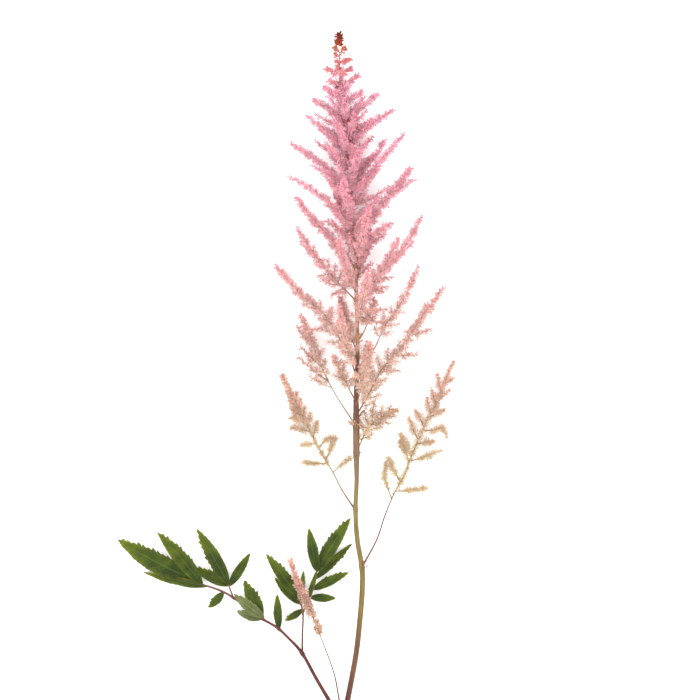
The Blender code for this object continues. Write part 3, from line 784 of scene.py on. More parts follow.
def makeSprayTree():
    tree, ask, out = newTree("flowerSpray", {
        "Flower spacing": "Float",
        "Flower size": "Float",
        "Forward lean": "Float",
        "Table height": "Float",
        "Seed": "Int",
        "Flower shapes": "Collection",
        "Stalk finish": "Material",
        "Flower finish": "Material",
    })
    lines = result(tree, "GeometryNodeMeshToCurve", Mesh=ask["Geometry"])

    thick = named(tree, "stalk")
    sized = result(tree, "GeometryNodeSetCurveRadius", Curve=lines, Radius=thick)
    ring = result(tree, "GeometryNodeCurvePrimitiveCircle", Resolution=6, Radius=1.0)
    stalks = place(tree, "GeometryNodeCurveToMesh", i0=sized, i1=ring)
    stalks.inputs["Fill Caps"].default_value = True
    if "Scale" in stalks.inputs:
        tree.links.new(thick, stalks.inputs["Scale"])
    stalks = madeReal(tree, stalks.outputs[0], ask["Table height"], ask["Stalk finish"])

    # where a flower stands, and which way it looks
    spots = place(
        tree, "GeometryNodeCurveToPoints", set_mode="LENGTH", Curve=lines, Length=ask["Flower spacing"]
    ).outputs
    turn = maths(tree, "MULTIPLY", result(tree, "GeometryNodeInputIndex"), goldenAngle)
    turn = maths(tree, "ADD", turn, randomNumber(tree, -0.6, 0.6, ask["Seed"], 1))
    outward = result(
        tree, "ShaderNodeVectorRotate", set_rotation_type="AXIS_ANGLE",
        Vector=spots["Normal"], Axis=spots["Tangent"], Angle=turn,
    )
    lean = maths(tree, "MULTIPLY", ask["Forward lean"], randomNumber(tree, 0.4, 1.5, ask["Seed"], 2))
    forward = vectorMaths(tree, "SCALE", spots["Tangent"], Scale=lean)
    facing = vectorMaths(tree, "NORMALIZE", vectorMaths(tree, "ADD", outward, i1=forward))
    spin = randomNumber(tree, 0.0, 2 * math.pi, ask["Seed"], 3)
    spin = result(tree, "ShaderNodeCombineXYZ", Z=spin)
    turned = turnTo(tree, facing)
    turned = result(tree, "FunctionNodeRotateRotation", set_rotation_space="LOCAL", i0=turned, i1=spin)

    # which of the four ages it has, how large it is, and whether it grows at all
    kind = maths(tree, "ADD", named(tree, "age"), randomNumber(tree, -0.14, 0.14, ask["Seed"], 4))
    kind = maths(tree, "MULTIPLY", maths(tree, "MAXIMUM", kind, 0.0), 4.0)
    kind = maths(tree, "MINIMUM", kind, 3.9)
    kind = result(tree, "FunctionNodeFloatToInt", set_rounding_mode="FLOOR", Float=kind)
    size = maths(tree, "MULTIPLY", ask["Flower size"], randomNumber(tree, 0.8, 1.15, ask["Seed"], 5))
    size = maths(tree, "MULTIPLY", size, named(tree, "vigour"))
    grows = randomNumber(tree, 0.0, 1.0, ask["Seed"], 6)
    grows = maths(tree, "GREATER_THAN", named(tree, "bloom"), grows)
    shapes = result(tree, "GeometryNodeCollectionInfo", Collection=ask["Flower shapes"], i1=True, i2=True)
    flowers = result(
        tree, "GeometryNodeInstanceOnPoints", Points=spots[0], Selection=grows, Instance=shapes,
        i3=True, i4=kind, Rotation=turned, Scale=size,
    )
    flowers = result(
        tree, "GeometryNodeStoreNamedAttribute", set_data_type="FLOAT", set_domain="INSTANCE",
        Geometry=flowers, Name="tone", Value=randomNumber(tree, 0.0, 1.0, ask["Seed"], 7),
    )
    flowers = madeReal(tree, flowers, ask["Table height"], ask["Flower finish"])

    both = place(tree, "GeometryNodeJoinGeometry", Geometry=flowers)
    tree.links.new(stalks, both.inputs[0])
    tree.links.new(both.outputs[0], out)
    return tree


sprayTree = makeSprayTree()


def growSpray(name, axes, look, seed):
    # axes are rows of x, y, z, stalk radius, bloom, age and vigour; the tree does the rest
    rows = np.vstack(axes)
    edges = []
    first = 0
    for axis in axes:
        edges += [(first + k, first + k + 1) for k in range(len(axis) - 1)]
        first += len(axis)
    data = bpy.data.meshes.new(name)
    data.from_pydata((rows[:, :3] * mm + sheetCorner).tolist(), edges, [])
    rows[:, 3] *= mm
    marks = ("stalk", "bloom", "age", "vigour")
    for mark, values in zip(marks, rows.T[3:]):
        layer = data.attributes.new(mark, "FLOAT", "POINT")
        layer.data.foreach_set("value", values.astype(np.float32))
    piece = runTree(sprayTree, name, data, {
        "Flower spacing": look["spacing"] * mm,
        "Flower size": look["size"],
        "Forward lean": look["lean"],
        "Table height": tableTop * mm,
        "Seed": seed,
        "Flower shapes": floretShapes,
        "Stalk finish": sprigFinish,
        "Flower finish": petalFinish,
    })
    layers = piece.data.attributes
    for mark in ("stalk", "bloom", "vigour"):
        if mark in layers:
            layers.remove(layers[mark])
    return piece


def axisRows(line, radii, bloom, age, vigour):
    count = len(line)
    columns = [np.broadcast_to(np.asarray(c, float), count) for c in (radii, bloom, age, vigour)]
    return np.column_stack([line[:, :3], *columns])


def offTable(line, lowest):
    line[:, 2] = np.maximum(line[:, 2], lowest)
    return line


def turnedRound(side, up, turn):
    return side * math.cos(turn) + up * math.sin(turn)


def stalkLine(height, points, inset, count):
    # from the stem through the given points; it ends a little early, because its last flowers
    # stand past it
    last = np.array(points[-1], float)
    step = unit(np.array(points[-2], float) - last)
    root = atHeight(stem, height)[:3]
    line = smoothLine([tuple(root), *points[:-1], tuple(last + step * inset)], count)
    return offTable(line, stalkRest)


def curvedRaceme(root, tip, along, bend, count):
    # leaves its axis outwards and bends towards the axis's own direction
    reach = np.linalg.norm(tip - root)
    middle = (root + tip) / 2 - along * reach * bend
    t = np.linspace(0, 1, count)[:, None]
    return offTable(root * (1 - t)**2 + 2 * middle * t * (1 - t) + tip * t**2, twigRest)


def budStalk(foot, turn, radius, reach, age, vigour):
    # a very short stalk that leaves an axis outwards and a little towards the tip
    tip = foot + np.array([math.cos(turn) * radius, reach, math.sin(turn) * radius])
    raceme = curvedRaceme(foot, tip, np.array([0.0, 1.0, 0.0]), 0.1, 4)
    return axisRows(raceme, 0.2, 1.0, age, vigour)


def sideRacemes(line, look, bare, ageLow, ageHigh, rng):
    # short side racemes set round the axis in a spiral, longest low down
    along, side, up = ringFrames(line)
    length = float(np.linalg.norm(np.diff(line[:, :3], axis=0), axis=1).sum())
    axes = []
    spot = bare * length
    number = rng.randint(0, 20)
    while spot < 0.96 * length:
        share = spot / length
        past = (share - bare) / (1 - bare)
        fullness = min(1.0, 0.55 + past * 3.5) * (1 - past)**look["taper"]
        reach = look["sideLength"] * fullness * rng.uniform(0.7, 1.2)
        reach = max(reach, look["shortest"] * rng.uniform(0.7, 1.2))
        k = int(share * (len(line) - 1))
        outward = turnedRound(side[k], up[k], number * goldenAngle + rng.uniform(-0.4, 0.4))
        angle = math.radians(rng.uniform(*look["angle"]))
        direction = along[k] * math.cos(angle) + outward * math.sin(angle)
        root = at(line, share)[:3]
        raceme = curvedRaceme(root, root + direction * reach, along[k], 0.16, 5)
        spots = np.linspace(0, 1, 5)
        age = ageLow + (ageHigh - ageLow) * share
        axes.append(axisRows(
            raceme,
            0.24 - 0.1 * spots,
            np.minimum(1.0, spots * 4),
            np.clip(age - 0.38 * spots, 0, 1),
            look["vigour"] * (1 - 0.28 * spots),
        ))
        number += 1
        spot += look["sideSpacing"] * rng.uniform(0.75, 1.25)
    return axes


# What changes from the foot of the plume to its tip, at these distances from the cut end
plumeSteps = (235.0, 310.0, 390.0, 460.0)
plumeLook = {
    "sideLength": (11.0, 9.0, 6.4, 4.4),
    "sideSpacing": (2.4, 2.2, 1.9, 1.7),
    "taper": (0.6, 0.75, 0.95, 1.0),
    "spacing": (0.82, 0.78, 0.7, 0.64),
    "size": (1.2, 1.2, 1.2, 1.15),
    "bare": (0.24, 0.16, 0.06, 0.05),  # share of a branch that has no flowers
    "age": (0.98, 0.9, 0.82, 0.7),
}
branchLook = {
    "footRadius": 0.56,
    "tipRadius": 0.15,
    "flare": 0.28,
    "inset": 1.4,
    "shortest": 2.1,  # mm, a side raceme
    "angle": (42, 64),  # degrees between a branch and its side racemes
    "vigour": 1.0,
    "tip": 1.0,  # size of the flowers near the tip
    "lean": 0.75,
    "twigs": {"sideLength": 4.0, "sideSpacing": 2.4},
}
pinkFrom = 325.0
ownLook = {  # single branches that differ from their neighbours
    "plume_right_01": {"bare": 0.2, "sideLength": 13.5},
    "plume_right_02": {"bare": 0.07, "sideLength": 15.0, "taper": 1.5},
    "plume_right_03": {"bare": 0.34, "sideLength": 13.0, "taper": 1.4},
    "plume_right_04": {"bare": 0.4},
    "plume_right_06": {"sideLength": 6.5, "taper": 1.2, "tip": 0.78},
    "plume_right_09": {"sideLength": 6.0, "taper": 1.3, "tip": 0.8},
    "plume_left_01": {"bare": 0.42, "sideLength": 7.5, "sideSpacing": 3.3},
    "plume_left_02": {"bare": 0.3, "sideLength": 12.0},
    "plume_left_03": {"bare": 0.14, "sideLength": 13.0, "taper": 1.15},
    "plume_left_04": {"sideLength": 10.5},
    "plume_left_05": {"tip": 0.85},
    "plume_left_06": {"sideLength": 5.5, "taper": 1.2, "tip": 0.8},
    "plume_left_07": {"sideLength": 7.0, "taper": 1.3, "tip": 0.8},
    "plume_left_08": {"sideLength": 3.4, "sideSpacing": 2.4, "taper": 1.3, "tip": 0.74},
}
extraRacemes = {  # longer ones: share of the branch where each leaves it, tip
    "plume_right_05": [(0.55, (39.9, 368.9, 36.0)), (0.3, (22.0, 338.0, 30.0))],
    "plume_right_06": [(0.2, (18.5, 334.0, 12.0)), (0.26, (25.0, 345.0, 12.0))],
    "plume_upper_03": [(0.3, (17.0, 313.0, 34.0)), (0.42, (21.0, 322.0, 42.0))],
    "plume_left_03": [(0.34, (-33.0, 308.0, 12.0))],
    "plume_right_08": [(0.6, (41.0, 414.0, 3.0))],
    "plume_left_04": [
        (0.6, (-38.5, 369.0, 26.0)), (0.2, (-17.5, 332.0, 20.0)), (0.34, (-25.0, 342.0, 23.0)),
    ],
    "plume_left_01": [
        (0.36, (-33.5, 276.0, 7.0)), (0.42, (-40.5, 289.0, 4.0)),
        (0.55, (-39.5, 297.0, 3.0)), (0.7, (-42.0, 311.0, 2.0)),
    ],
    "plume_left_02": [(0.45, (8.0, 281.0, 27.0))],
    "plume_right_01": [(0.42, (-5.5, 244.5, 21.0)), (0.5, (13.0, 259.0, 16.0))],
    "plume_right_02": [(0.34, (31.0, 279.5, 8.0)), (0.46, (44.5, 291.0, 5.0)), (0.62, (53.5, 309.0, 3.0))],
}


def lookAt(height):
    look = {key: float(np.interp(height, plumeSteps, values)) for key, values in plumeLook.items()}
    return {**branchLook, **look}


def flowerBranch(node, height, points, look, rng):
    line = stalkLine(height, points, look["inset"], 40)
    shares = np.linspace(0, 1, len(line))
    radii = look["footRadius"] + (look["tipRadius"] - look["footRadius"]) * shares**0.7
    radii += look["flare"] * np.exp(-shares * 30)
    bloom = np.clip((shares - look["bare"]) * 12, 0, 1)
    old, tip = look["age"], look["tip"]
    age = np.interp(shares, [0, 0.6, 0.9, 1.0], [old, old * 0.8, 0.4, 0.2])
    vigour = np.interp(shares, [0, 0.6, 0.85, 1.0], [1.0, 1.05, 1.25 * tip, 1.1 * tip])
    axes = [axisRows(line, radii, bloom, age, vigour)]
    axes += sideRacemes(line, look, look["bare"], old, 0.6, rng)
    for share, end in extraRacemes.get(node, []):
        start = at(line, share)[:3]
        step = directions(line)[int(share * (len(line) - 1))]
        raceme = curvedRaceme(start, np.array(end), step, 0.1, 12)
        spots = np.linspace(0, 1, 12)
        bloom = np.clip(spots * 6 - 0.6, 0, 1)
        age = old * (1 - 0.75 * spots)
        axes.append(axisRows(raceme, 0.3 - 0.12 * spots, bloom, age, 0.86 - 0.2 * spots))
        axes += sideRacemes(raceme, {**look, **look["twigs"]}, 0.25, old, 0.3, rng)
    return axes


def pieceName(node):
    head, *rest = node.split("_")
    return head + "".join(word.capitalize() for word in rest)


def makePlume():
    for number, (node, (height, points)) in enumerate(plumeBranches.items()):
        look = {**lookAt(height), **ownLook.get(node, {})}
        axes = flowerBranch(node, height, points, look, random.Random(100 + number))
        piece = growSpray(pieceName(node), axes, look, 300 + number)
        settle(piece, "upper_flowers" if height > pinkFrom else "lower_flowers", node)


# Short racemes straight out of the stem fill the middle of the plume
coreLook = {
    "top": 464.0,
    "reach": [(346.0, 13.0), (362.0, 22.0), (380.0, 27.0), (405.0, 28.0), (438.0, 27.0), (466.0, 17.0)],
    "step": [(346.0, 2.4), (466.0, 1.7)],
    "age": [(250.0, 0.95), (466.0, 0.7)],
    "angle": (44, 70),
    "twigs": {
        "sideLength": 4.4, "sideSpacing": 2.6, "taper": 0.7,
        "shortest": 1.4, "angle": (45, 65), "vigour": 0.95,
    },
    "spacing": 0.77,
    "size": 1.12,
    "lean": 0.75,
    "seed": 8,
}


def makeCore():
    look = coreLook
    rng = random.Random(look["seed"])
    axes = []
    height = look["reach"][0][0]
    along, side, up = ringFrames(stem)
    number = 0
    while height < look["top"]:
        k = stemRow(height)
        outward = turnedRound(side[k], up[k], number * goldenAngle)
        angle = math.radians(rng.uniform(*look["angle"]))
        reach = np.interp(height, *zip(*look["reach"])) * rng.uniform(0.75, 1.1)
        tip = stem[k, :3] + (along[k] * math.cos(angle) + outward * math.sin(angle)) * reach
        raceme = curvedRaceme(stem[k, :3], tip, along[k], 0.14, 12)
        spots = np.linspace(0, 1, 12)
        old = np.interp(height, *zip(*look["age"]))
        bloom = np.clip(spots * 8 - 0.4, 0, 1)
        age = np.clip(old - 0.55 * spots**2, 0, 1)
        axes.append(axisRows(raceme, 0.3 - 0.14 * spots, bloom, age, 1 - 0.15 * spots))
        axes += sideRacemes(raceme, look["twigs"], 0.25, old, 0.45, rng)
        height += np.interp(height, *zip(*look["step"])) * rng.uniform(0.8, 1.2)
        number += 1
    settle(growSpray("plumeCore", axes, look, 90), "upper_flowers")


makePlume()
makeCore()
print("plume made")


# Small things that stand on the stem: a tree that sets one shape on every point it gets

def makeSetTree():
    tree, ask, out = newTree("setOnPoints", {
        "Shape": "Object",
        "Size": "Float",
        "Size spread": "Float",
        "Table height": "Float",
        "Seed": "Int",
        "Finish": "Material",
    })
    shape = place(tree, "GeometryNodeObjectInfo", Object=ask["Shape"]).outputs["Geometry"]
    turned = turnTo(tree, named(tree, "facing", "FLOAT_VECTOR"))
    spread = maths(tree, "MULTIPLY", ask["Size spread"], randomNumber(tree, -1.0, 1.0, ask["Seed"], 1))
    size = maths(tree, "MULTIPLY", ask["Size"], maths(tree, "ADD", 1.0, spread))
    placed = result(
        tree, "GeometryNodeInstanceOnPoints", Points=ask["Geometry"], Instance=shape,
        Rotation=turned, Scale=size,
    )
    tree.links.new(madeReal(tree, placed, ask["Table height"], ask["Finish"]), out)
    return tree


setTree = makeSetTree()


def setShapes(name, shape, spots, facings, spread, seed):
    holder = bpy.data.objects.new(name + "Shape", meshOf(name + "Shape", shape, onSheet=False))
    data = bpy.data.meshes.new(name)
    data.from_pydata((np.array(spots) * mm + sheetCorner).tolist(), [], [])
    layer = data.attributes.new("facing", "FLOAT_VECTOR", "POINT")
    layer.data.foreach_set("vector", np.array(facings, np.float32).ravel())
    piece = runTree(setTree, name, data, {
        "Shape": holder,
        "Size": 1.0,
        "Size spread": spread,
        "Table height": tableTop * mm,
        "Seed": seed,
        "Finish": bractFinish,
    })
    bpy.data.objects.remove(holder, do_unlink=True)
    settle(piece, "stem")


jointLook = {
    "bractLength": 3.6,
    "bractWidth": 1.0,
    "bractRise": 84.0,
    "hairLength": 1.3,
    "hairWidth": 0.07,
    "hairsEach": 14,
    "hairRange": (-2.4, 1.6),  # mm along the stem
    "seed": 21,
}


def makeJoints():
    # a narrow bract under each branch, and short brown hairs round each joint
    look = jointLook
    rng = random.Random(look["seed"])
    along = directions(stem)
    bracts, bractFacings, hairs, hairFacings = [], [], [], []
    for height, points in [*plumeBranches.values(), *lowerBranches.values()]:
        root = atHeight(stem, height)
        step = along[stemRow(height)]
        outward = np.array(points[0], float) - root[:3]
        outward = unit(outward - step * outward.dot(step))
        bracts.append(root[:3] + outward * root[3] * 0.8 - step * 0.9)
        bractFacings.append(outward * 0.8 + step * 0.7)
        across = np.cross(step, outward)
        for _ in range(look["hairsEach"]):
            facing = turnedRound(outward, across, rng.uniform(-1.3, 1.3))
            hairs.append(root[:3] + facing * root[3] * 0.9 + step * rng.uniform(*look["hairRange"]))
            hairFacings.append(facing + step * rng.uniform(0.1, 0.9))
    bract = newShape()
    rise = math.radians(look["bractRise"])
    petalInto(bract, 0.0, look["bractLength"], look["bractWidth"], rise, 0.0, 0.4)
    setShapes("bracts", bract, bracts, bractFacings, 0.25, 31)
    hair = newShape()
    width = look["hairWidth"]
    thirds = [2 * math.pi * k / 3 for k in range(3)]
    points = [(width * math.cos(turn), width * math.sin(turn), 0.0) for turn in thirds]
    points.append((0.0, 0.0, look["hairLength"]))
    addTo(hair, points, [(2, 1, 0), (0, 1, 3), (1, 2, 3), (2, 0, 3)])
    setShapes("jointHairs", hair, hairs, hairFacings, 0.35, 32)


stubLine = [(0.4, 245.6, 16.5), (2.4, 248.0, 18.0), (4.0, 250.6, 19.0), (6.2, 251.7, 19.4)]
stubLook = {"rings": 12, "sides": 8, "footRadius": 0.62, "tipRadius": 0.4}
sheathLook = {
    "from": 27.5, "to": 35.5, "radius": 3.1, "taper": 0.9, "swell": 0.25, "rings": 10, "sides": 18,
}


def makeStub():
    # a short dried stub that bends out of the stem under the plume
    look = stubLook
    shape = newShape()
    radii = np.linspace(look["footRadius"], look["tipRadius"], look["rings"])
    tubeInto(shape, smoothLine(stubLine, look["rings"]), radii, look["sides"])
    settle(newPiece("driedStub", meshOf("driedStub", shape), [bractFinish]), "stem")


def makeSheath():
    # the papery foot of the leaf stalk, which clasps the stem at its node
    look = sheathLook
    line = np.array([atHeight(stem, y) for y in np.linspace(look["from"], look["to"], look["rings"])])
    shares = np.linspace(0, 1, look["rings"])
    radii = look["radius"] - look["taper"] * shares + look["swell"] * np.sin(shares * 9)
    shape = newShape()
    tubeInto(shape, line, radii, look["sides"], ridges=0.05, ridgeCount=6)
    settle(newPiece("leafSheath", meshOf("leafSheath", shape), [bractFinish]), "leaf_stalk")


makeJoints()
makeStub()
makeSheath()
print("joints made")


# Spire above the long branches

spireLine = [
    (-9.0, 465.0, 14.2), (-9.7, 470.0, 13.7), (-10.4, 478.0, 12.9), (-11.0, 488.0, 11.9),
    (-11.6, 498.0, 11.0), (-11.9, 507.0, 10.2), (-11.9, 515.6, 9.5),
]
spireRacemes = [  # distance from the cut end, tip
    (467.0, (4.4, 474.6, 15.0)), (468.5, (-14.0, 474.0, 22.0)), (471.5, (-22.6, 477.6, 12.0)),
    (474.0, (-6.0, 478.0, 21.0)), (476.0, (-14.0, 480.5, 6.0)), (478.0, (1.9, 486.3, 14.0)),
    (479.5, (-18.9, 482.2, 12.5)), (483.0, (-9.5, 487.0, 18.5)), (487.0, (-20.6, 491.0, 11.5)),
    (487.5, (-3.0, 490.9, 12.5)), (490.0, (-12.5, 493.0, 6.5)), (493.0, (-13.2, 496.0, 15.5)),
    (495.5, (-4.3, 497.6, 11.5)), (499.0, (-14.6, 501.0, 10.5)), (502.0, (-7.6, 505.2, 10.5)),
    (502.5, (-14.9, 505.8, 10.0)),
]
spireLook = {
    "stalk": 0.45,
    "spacing": 0.46,
    "size": 1.25,
    "lean": 0.8,
    "clusterStart": 507.0,
    "clusterLength": 6.8,
    "clusterRadius": 2.1,
    "clusterBuds": 15,
    "budReach": 1.9,
}


def makeSpire():
    look = spireLook
    line = smoothLine(spireLine, 60)
    shares = np.linspace(0, 1, len(line))
    age = np.clip(0.42 - 0.5 * shares, 0, 1)
    cluster = line[:, 1] > look["clusterStart"]
    bloom = np.where(cluster, 1.0, np.interp(line[:, 1], [480, 490, 506], [0.9, 0.3, 0.12]))
    axes = [axisRows(line, look["stalk"] - 0.3 * shares, bloom, age, np.where(cluster, 1.15, 0.9))]
    along = unit(line[-1, :3] - line[0, :3])
    for height, tip in spireRacemes:
        raceme = curvedRaceme(atHeight(line, height)[:3], np.array(tip), along, 0.08, 7)
        spots = np.linspace(0, 1, 7)
        young = np.interp(height, [465, 500], [0.72, 0.42])
        age = np.clip(young - 0.35 * spots, 0, 1)
        bloom = np.minimum(1.0, spots * 5)
        axes.append(axisRows(raceme, 0.28 - 0.1 * spots, bloom, age, 1.2 - 0.1 * spots))
    for k in range(look["clusterBuds"]):  # shut buds packed round the very tip
        share = k / (look["clusterBuds"] - 1)
        radius = look["clusterRadius"] * math.sin(math.pi * (0.3 + 0.5 * share))
        foot = atHeight(line, look["clusterStart"] + look["clusterLength"] * share)[:3]
        axes.append(budStalk(foot, k * goldenAngle, radius, look["budReach"], 0.0, 1.1 - 0.3 * share))
    settle(growSpray("plumeTop", axes, look, 71), "buds", "plume_top")


makeSpire()
print("spire made")


# Two open branches below the plume; a side raceme is its root, points on its way, its tip, and
# its size where it is stout

lowerRacemes = {
    "lower_left_branch": [
        ((-16.0, 208.5), [], (-3.8, 219.2, 13.0)),
        ((-20.5, 213.5), [(-29.0, 214.5, 9.5)], (-37.3, 214.9, 8.0)),
        ((-20.7, 217.5), [(-17.6, 224.6, 11.0)], (-15.4, 231.0, 11.5)),
        ((-25.6, 225.0), [(-20.5, 231.5, 9.5)], (-13.9, 232.6, 10.5)),
        ((-28.5, 228.0), [(-33.0, 227.6, 7.5)], (-38.8, 227.4, 6.5)),
        ((-33.0, 236.0), [(-37.0, 238.0, 6.0)], (-46.0, 239.1, 3.5)),
        ((-30.5, 232.5), [], (-27.0, 244.0, 9.0)),
        ((-36.0, 242.0), [], (-46.3, 246.6, 4.0)),
        ((-34.5, 240.0), [], (-31.5, 250.0, 9.5)),
        ((-38.5, 247.5), [], (-46.5, 253.0, 3.0)),
        ((-38.0, 246.5), [], (-35.8, 254.6, 9.0)),
        ((-40.5, 252.0), [], (-47.0, 258.2, 3.5)),
        ((-41.0, 253.0), [], (-38.5, 259.8, 8.0)),
        ((-43.0, 257.5), [], (-41.4, 264.0, 7.0)),
        ((-44.5, 260.0), [], (-49.4, 265.0, 2.0)),
    ],
    "lower_right_branch": [
        ((27.5, 194.5), [(36.0, 195.5, 9.5)], (49.6, 197.0, 6.5)),
        ((24.8, 190.0), [(20.5, 203.0, 10.0)], (20.6, 214.2, 9.0)),
        ((30.5, 201.0), [(26.5, 210.0, 10.0)], (22.2, 218.8, 10.5), 1.1),
        ((37.2, 215.0), [(34.5, 225.0, 9.0)], (31.2, 234.6, 8.0), 1.35),
        ((38.0, 216.5), [(48.0, 219.0, 7.0)], (60.0, 223.2, 5.5)),
        ((42.5, 228.0), [(48.0, 229.0, 6.0)], (55.2, 229.6, 5.0)),
        ((43.5, 230.5), [(40.0, 238.5, 7.5)], (37.2, 246.4, 7.5)),
        ((46.5, 237.0), [(56.0, 238.0, 5.0), (62.0, 239.5, 3.0)], (64.0, 232.0, 2.0)),
        ((48.0, 240.0), [], (41.6, 252.4, 6.5)),
        ((51.0, 246.5), [(57.0, 249.5, 5.0)], (62.8, 252.5, 3.5)),
        ((52.5, 249.0), [], (49.6, 260.2, 6.5)),
        ((56.0, 255.5), [], (53.0, 266.5, 5.5)),
        ((57.5, 258.5), [], (66.0, 266.4, 3.0)),
        ((59.5, 263.5), [], (57.0, 277.2, 4.5)),
        ((62.0, 270.0), [], (68.6, 274.6, 2.5)),
    ],
}
lowerLook = {  # share without flowers, share where the end spike starts, size of its flowers
    "lower_left_branch": {"bare": 0.31, "spikeFrom": 0.74, "tip": 1.3},
    "lower_right_branch": {"bare": 0.34, "spikeFrom": 0.82, "tip": 1.0},
}
lowerFlowers = {"spacing": 0.5, "size": 1.12, "lean": 0.8, "inset": 1.0}


def makeLowerBranches():
    for number, (node, (height, points)) in enumerate(lowerBranches.items()):
        bare, spike, tipSize = lowerLook[node].values()
        line = stalkLine(height, points, lowerFlowers["inset"], 110)
        shares = np.linspace(0, 1, len(line))
        radii = 0.62 - 0.44 * shares + 0.5 * np.exp(-shares * 45)
        bloom = np.interp(shares, [0, bare, bare + 0.06, spike, 1], [0, 0, 0.75, 1, 1])
        age = np.interp(shares, [0, 0.5, spike, 1.0], [1.0, 0.8, 0.5, 0.3])
        vigour = np.interp(shares, [0, 0.45, 0.6, 0.85, 1], [1.05, 1.05, 0.85, tipSize, tipSize])
        axes = [axisRows(line, radii, bloom, age, vigour)]
        for spot, way, tip, *stout in lowerRacemes[node]:
            share = nearestShare(line[:, :2], spot)
            start = at(line, share)[:3]
            raceme = offTable(smoothLine([tuple(start), *way, tip], 14), twigRest)
            spots = np.linspace(0, 1, 14)
            fullness = np.interp(spots, [0, 0.12, 0.3, 1], [0, 0.1, 1, 1])
            old = np.interp(share, [0.3, 0.9], [0.95, 0.5])
            age = np.clip(old - 0.4 * spots**1.5, 0, 1)
            vigour = (stout or [1.0])[0] * (0.82 + 0.26 * np.sin(np.pi * spots))
            axes.append(axisRows(raceme, 0.46 - 0.26 * spots, fullness, age, vigour))
        settle(growSpray(pieceName(node), axes, lowerFlowers, 500 + number), "lower_flowers", node)


makeLowerBranches()


# Small shoot beside the leaf

shootLine = [
    (-11.8, 49.4, 11.5), (-15.5, 68.6, 16.5), (-24.7, 94.5, 22.0), (-31.2, 111.0, 24.5),
    (-40.1, 132.0, 26.0), (-46.2, 148.3, 26.5),
]
shootLook = {
    "clusters": [(0.545, 1.6), (0.575, 2.4), (0.615, 1.8)],  # share of the shoot, reach
    "spike": 0.66,
    "spacing": 0.34,
    "size": 1.15,
    "lean": 0.9,
    "inset": 1.0,
}


def makeShoot():
    look = shootLook
    line = stalkLine(shootRoot, shootLine, look["inset"], 120)
    shares = np.linspace(0, 1, len(line))
    radii = 0.6 - 0.4 * shares + 0.5 * np.exp(-shares * 50)
    bloom = np.interp(shares, [0, 0.53, 0.54, 0.64, look["spike"], 1], [0, 0, 0.25, 0.3, 1, 1])
    age = np.interp(shares, [0, 0.6, 0.85, 1.0], [0.95, 0.8, 0.4, 0.05])
    vigour = np.interp(shares, [0, 0.66, 0.78, 1], [0.8, 1.15, 1.4, 1.35])
    axes = [axisRows(line, radii, bloom, age, vigour)]
    for share, reach in look["clusters"]:
        start = at(line, share)[:3]
        for k in range(2):
            axes.append(budStalk(start, k * goldenAngle + share * 40, reach, 0.8, 0.75, 0.85))
    settle(growSpray("axillaryShoot", axes, look, 61), "lower_flowers", "axillary_shoot")


makeShoot()
print("lower branches and shoot made")


# Leaf stalk

leafLines = {  # x, y, z, radius
    "foot": [(-13.5, 38.5, 4.0, 1.7)],
    "main": [
        (-20.0, 49.7, 4.6, 1.25), (-28.1, 63.7, 6.2, 1.15), (-37.7, 81.1, 7.4, 1.1),
        (-46.9, 91.4, 7.4, 0.9), (-55.7, 99.4, 7.0, 0.85), (-67.8, 106.6, 6.4, 0.8),
        (-85.2, 119.4, 5.8, 0.7), (-95.6, 125.2, 5.4, 0.65), (-109.6, 129.8, 5.0, 0.6),
        (-116.2, 133.0, 4.8, 0.5),
    ],
    "side": [
        (-37.7, 81.1, 7.4, 0.7), (-37.6, 94.0, 7.8, 0.6),
        (-37.3, 110.0, 7.6, 0.55), (-41.0, 122.0, 7.2, 0.42),
    ],
    "twig": [(-86.1, 120.0, 5.8, 0.5), (-88.0, 125.0, 6.1, 0.45), (-89.4, 129.3, 6.3, 0.4)],
    "fork": [
        (-37.3, 110.0, 7.6, 0.55), (-32.4, 120.0, 7.4, 0.5),
        (-28.9, 130.0, 7.2, 0.45), (-27.3, 139.0, 7.0, 0.4),
    ],
}
